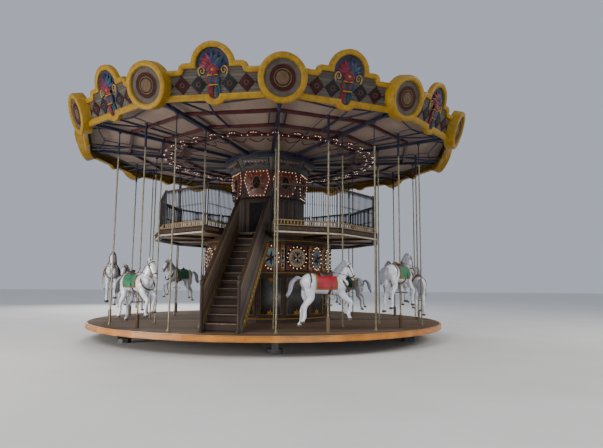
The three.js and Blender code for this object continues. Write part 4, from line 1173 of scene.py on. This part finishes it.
# %% [markdown]
# ## The hub above the stair
# Eight red panels lean out under the top bearing. Each ends below in a point like a shield and is outlined with
# bulbs round a dark cartouche. Above them a soffit of painted panels widens to the bearing.

# %% Hub panels
FACES = [22.5 + 45 * face for face in range(8)]
HUB_LEAN = math.degrees(math.atan2(flat_radius(0.05, 8), 0.78))
HEART_Y = 0.42
SHIELD = [(-0.335, 0.765), (-0.41, 0.50), (-0.235, 0.02), (0.235, 0.02), (0.41, 0.50), (0.335, 0.765)]
shield = [plate("shield", SHIELD, 0.016, -0.006, red_panel, 0.004),
          plate("heart", [(0.78 * x, 0.085 + 0.78 * y) for x, y in SHIELD], 0.022, 0.010, mottled, 0.004),
          disc(0.205, 0.020, 0.040, amber, y=HEART_Y, inner=0.178, steps=32, squeeze=0.62),
          disc(0.18, 0.020, 0.030, black, y=HEART_Y, steps=32, squeeze=0.62)]
shield += star(HEART_Y, 0.030, 0.09, 0.03, (tan, maroon), 6)
for side in (-1, 1):
    for k, lean in enumerate((20, 60, 100, 140)):
        place = shift(side * 0.12, HEART_Y + 0.16 * math.cos(math.radians(lean)), 0.024) @ rotate(-side * lean)
        shield.append(moved(leaf(0.15, 0.05, (amber, tan)[k % 2], 6), place))
shield_master = joined("shield", *shield)
spots = []
for (x0, y0), (x1, y1) in zip(SHIELD, SHIELD[1:] + SHIELD[:1]):
    count = max(1, round(math.hypot(x1 - x0, y1 - y0) / 0.105))
    spots += [((x0 + (x1 - x0) * k / count) * 0.93, 0.385 + (y0 + (y1 - y0) * k / count - 0.385) * 0.93)
              for k in range(count)]
places = [wall(azimuth, flat_radius(1.10, 8) + 0.004, 3.89, HUB_LEAN) for azimuth in FACES]
settle(repeated("hub_shields", shield_master, places))
bulbs("hub_bulbs", [place @ shift(x, y, 0.014) for place in places for x, y in spots], 0.008)

# %% Soffit panels
SOFFIT_LEAN = math.degrees(math.atan2(flat_radius(0.19, 8), 0.315))
soffit = [frame_of(0.40, 0.02, 0.33, 0.025, 0.016, dark_brown),
          plate("panel", [(-0.385, 0.035), (0.385, 0.035), (0.395, 0.315), (-0.395, 0.315)], 0.010, -0.004,
                grey_green, 0.002)]
for side in (-1, 1):
    for k, (x, lean) in enumerate(((0.05, -70), (0.14, -110), (0.20, -60), (0.27, -115))):
        curl = leaf(0.15, 0.06, (scarlet, teal)[k % 2], 5)
        soffit.append(moved(curl, shift(side * x, 0.175, 0.008) @ rotate(side * lean)))
soffit += [disc(0.013, 0.006, 0.016, cream, 0.1 * k, 0.255, steps=10) for k in range(-3, 4)]
places = [wall(azimuth, flat_radius(1.15, 8) + 0.006, 4.672, SOFFIT_LEAN) for azimuth in FACES]
settle(repeated("hub_soffit_panels", joined("soffit", *soffit), places))

# %% Hub wall and its two doors
HUB_WALL_R = flat_radius(1.04, 8)
wall_panel = joined("hub_wall", frame_of(0.395, 2.805, 3.86, 0.05, 0.022, dark_brown),
                    plate("planks", box(-0.36, 0.36, 2.84, 3.83), 0.008, -0.002, hub_boards, 0.002))
parts = [copied(wall_panel, "hub_wall", wall(azimuth, HUB_WALL_R, 0)) for azimuth in FACES]
remove(wall_panel)
for azimuth in (-22.5, 157.5):
    for half, low, high, proud, finish in ((0.27, 2.81, 3.78, 0.020, hub_boards), (0.23, 2.82, 3.74, 0.026, black)):
        door = plate("door", box(-half, half, low, high), proud, 0.0, finish, 0.003)
        parts.append(moved(door, wall(azimuth, HUB_WALL_R, 0)))
settle(joined("hub_wall_panels", *parts))

# %% [markdown]
# ## The upper deck
# A close railing of turned iron bars guards the upper deck. One bar is a spun outline, and a bay's railing is a
# row of its copies between a round-edged handrail and a golden frieze of short balusters.

# %% Railing
GUARD_R, GUARD_END = 3.133, 0.8054
STANDING = rotate(-90, "X")
iron_bar = spun("iron_bar", [(0, 2.985), (0.013, 2.985), (0.013, 3.02), (0.008, 3.04), (0.008, 3.36), (0.014, 3.39),
                             (0.008, 3.42), (0.008, 3.74), (0.013, 3.77), (0.013, 3.815), (0, 3.815)], 6, black)
baluster = spun("baluster", [(0, 2.846), (0.017, 2.846), (0.017, 2.86), (0.010, 2.872), (0.019, 2.902),
                             (0.012, 2.932), (0.017, 2.95), (0.017, 2.962), (0, 2.962)], 8, pale_gold)

def side_plane(azimuth):
    """A plane through the axis: X outwards, Y up, Z across."""
    return rotate(azimuth) @ Matrix(((0, 0, -1, 0), (-1, 0, 0, 0), (0, 1, 0, 0), (0, 0, 0, 1)))

def railing(name, start, stop, place, node):
    span = stop - start
    parts = []
    for master, pitch in ((iron_bar, 0.060), (baluster, 0.085)):
        count = round(span / pitch)
        parts += [copied(master, "upright", place @ shift(start + span * (k + 0.5) / count, 0) @ STANDING)
                  for k in range(count)]
    for low, high, half, finish in ((2.80, 2.85, 0.020, dark_brown), (2.958, 2.988, 0.022, old_gold),
                                    (3.81, 3.86, 0.024, dark_brown)):
        parts.append(moved(plate("rail", box(start, stop, low, high), half, -half, finish, 0.007), place))
    for x in (start + 0.018, stop - 0.018):
        post = spun("post", [(0, 2.80), (0.017, 2.80), (0.017, 3.835), (0.022, 3.855), (0.014, 3.89), (0, 3.90)],
                    8, dark_brown)
        parts.append(moved(post, place @ shift(x, 0) @ STANDING))
    settle(joined(name, *parts), nodes=[node])

for bay in HORSE_BAYS:
    railing(f"railing_{bay:02d}", -GUARD_END, GUARD_END, wall(middle_of(bay), GUARD_R, 0), f"balustrade_{bay:02d}")
for side, azimuth in (("left", -30), ("right", 0)):
    railing(f"railing_stair_{side}", 1.90, 3.22, side_plane(azimuth), f"stair_guard_{side}")
remove(iron_bar, baluster)

# %% Ceiling boards under the upper deck
parts = []
for bay in HORSE_BAYS:
    corners = [polar(radius, middle_of(bay) + away)
               for radius, away in ((1.93, -13.5), (3.16, -14.2), (3.16, 14.2), (1.93, 13.5))]
    parts.append(plate("ceiling", [corner.xy for corner in corners], 2.726, 2.739, ceiling_paint, 0.002))
settle(joined("deck_ceiling", *parts))

# %% Lines and drops on the fascia
FASCIA_END = 0.878
parts = []
for bay in HORSE_BAYS:
    place = wall(middle_of(bay), flat_radius(3.33, 12), 0)
    for low, high, proud, finish in ((2.834, 2.860, 0.016, old_gold), (2.812, 2.834, 0.010, black),
                                     (2.702, 2.722, 0.010, black), (2.660, 2.700, 0.016, cream)):
        strip = plate("line", box(-FASCIA_END, FASCIA_END, low, high), proud, -0.006, finish, 0.003)
        parts.append(moved(strip, place))
    for k in range(12):
        spot = shift(-FASCIA_END + 2 * FASCIA_END * (k + 0.5) / 12, 2.767)
        drop = disc(0.032, -0.004, 0.008, tan, steps=4)
        parts.append(moved(drop, place @ spot @ Matrix.Diagonal((1.4, 0.85, 1, 1))))
settle(joined("fascia_lines", *parts))

# %% [markdown]
# ## The stair
# Pale nosings edge the treads. The string walls carry a cap rail, thin golden lines that follow the slope, and a
# row of carved leaves along their lower edge. All of it is laid out in the plane of a wall, where the first
# measure is the distance from the axis of the ride and the second is the height.

# %% Slope of the stair
RISER, GOING, FOOT_R = 0.181538, 0.205833, 4.35
nosing_height = lambda r: PLATFORM_TOP + RISER + (FOOT_R - r) * RISER / GOING
string_plane = side_plane(STAIR_AZIMUTH)

def along_slope(start, stop, low, high, inner, outer, finish, bevel=0.003):
    """A strip between two heights above the nosings, and between two distances from the stair's middle."""
    outline = [(r, nosing_height(r) + above) for r, above in box(start, stop, low, high)]
    return moved(plate("strip", outline, -inner, -outer, finish, bevel), string_plane)

# %% Nosings
NOSING = [(0.006, -0.018), (0.006, 0.003), (-0.022, 0.003), (-0.022, -0.004), (-0.002, -0.006), (-0.002, -0.018)]
parts = []
for step in range(13):
    r, z = FOOT_R - GOING * step, PLATFORM_TOP + RISER * (step + 1)
    nosing = plate("nosing", [(r + out, z + up) for out, up in NOSING], 0.374, -0.374, nosing_paint, 0.0015)
    parts.append(moved(nosing, string_plane))
settle(joined("stair_nosings", *parts))

# %% Caps, lines and carved leaves
parts = []
for side in (-1, 1):
    parts.append(along_slope(4.445, 1.885, 0.93, 0.965, side * 0.364, side * 0.4254, dark_brown, 0.006))
    for low, high, finish in ((0.05, 0.095, gold), (0.22, 0.229, pale_gold), (0.36, 0.369, gold),
                              (0.50, 0.509, pale_gold), (0.64, 0.649, gold), (0.84, 0.855, gold)):
        parts.append(along_slope(4.40, 1.90, low, high, side * 0.372, side * 0.384, finish))
    for start, stop, low, high in ((4.20, 1.95, -0.245, -0.215), (4.42, 3.35, 0.845, 0.865)):
        parts.append(along_slope(start, stop, low, high, side * 0.42, side * 0.437, gold))
    for k in range(19):
        r = 4.18 - 0.115 * k
        spot = shift(r, nosing_height(r) - 0.175, -side * 0.425)
        for lean, finish, size in ((0, gold, 0.19), (38, pale_gold, 0.15), (-34, gold, 0.13)):
            turn = rotate(90 - math.degrees(STAIR_SLOPE) - lean) @ rotate(180 if side > 0 else 0, "Y")
            parts.append(moved(leaf(size, 0.11, finish, 5), string_plane @ spot @ turn))
settle(joined("stair_carving", *parts))

# %% Newels
for side, name in ((-1, "left"), (1, "right")):
    newel = spun(f"stair_newel_{name}", [(0, PLATFORM_TOP), (0.05, PLATFORM_TOP), (0.05, 0.50), (0.034, 0.52),
                                         (0.034, 1.40), (0.05, 1.43), (0.05, 1.52), (0.03, 1.54), (0.042, 1.58),
                                         (0.042, 1.60), (0.02, 1.635), (0, 1.64)], 16, dark_brown)
    settle(moved(newel, rotate(STAIR_AZIMUTH) @ shift(side * 0.4025, -4.478)))

# %% [markdown]
# ## Platform and floor
# The rim gets thin raised lines and joint covers between its lengths. The floor is plain and pale.

# %% Rim
joint_cover = plate("cover", box(-0.035, 0.035, 0.315, 0.435), 0.006, -0.004, orange, 0.002)
places = [wall(30 * number, flat_radius(4.93, 48), 0) for number in range(12)]
settle(repeated("rim_covers", joint_cover, places))
for name, height in (("rim_line_low", 0.326), ("rim_line_high", 0.424)):
    ring_rail(name, 4.932, 0.005, height - 0.006, height + 0.006, pale_gold, 3.75, 48)

# %% Floor
bpy.ops.object.select_all(action="DESELECT")
bpy.ops.mesh.primitive_plane_add(size=160, location=(0, 0, -0.001))
floor = bpy.context.object
floor.name = "pale_floor"
coat(floor, enamel("pale_floor_plaster", (0.78, 0.77, 0.75), (0.71, 0.70, 0.68), 0.6, 0.8))
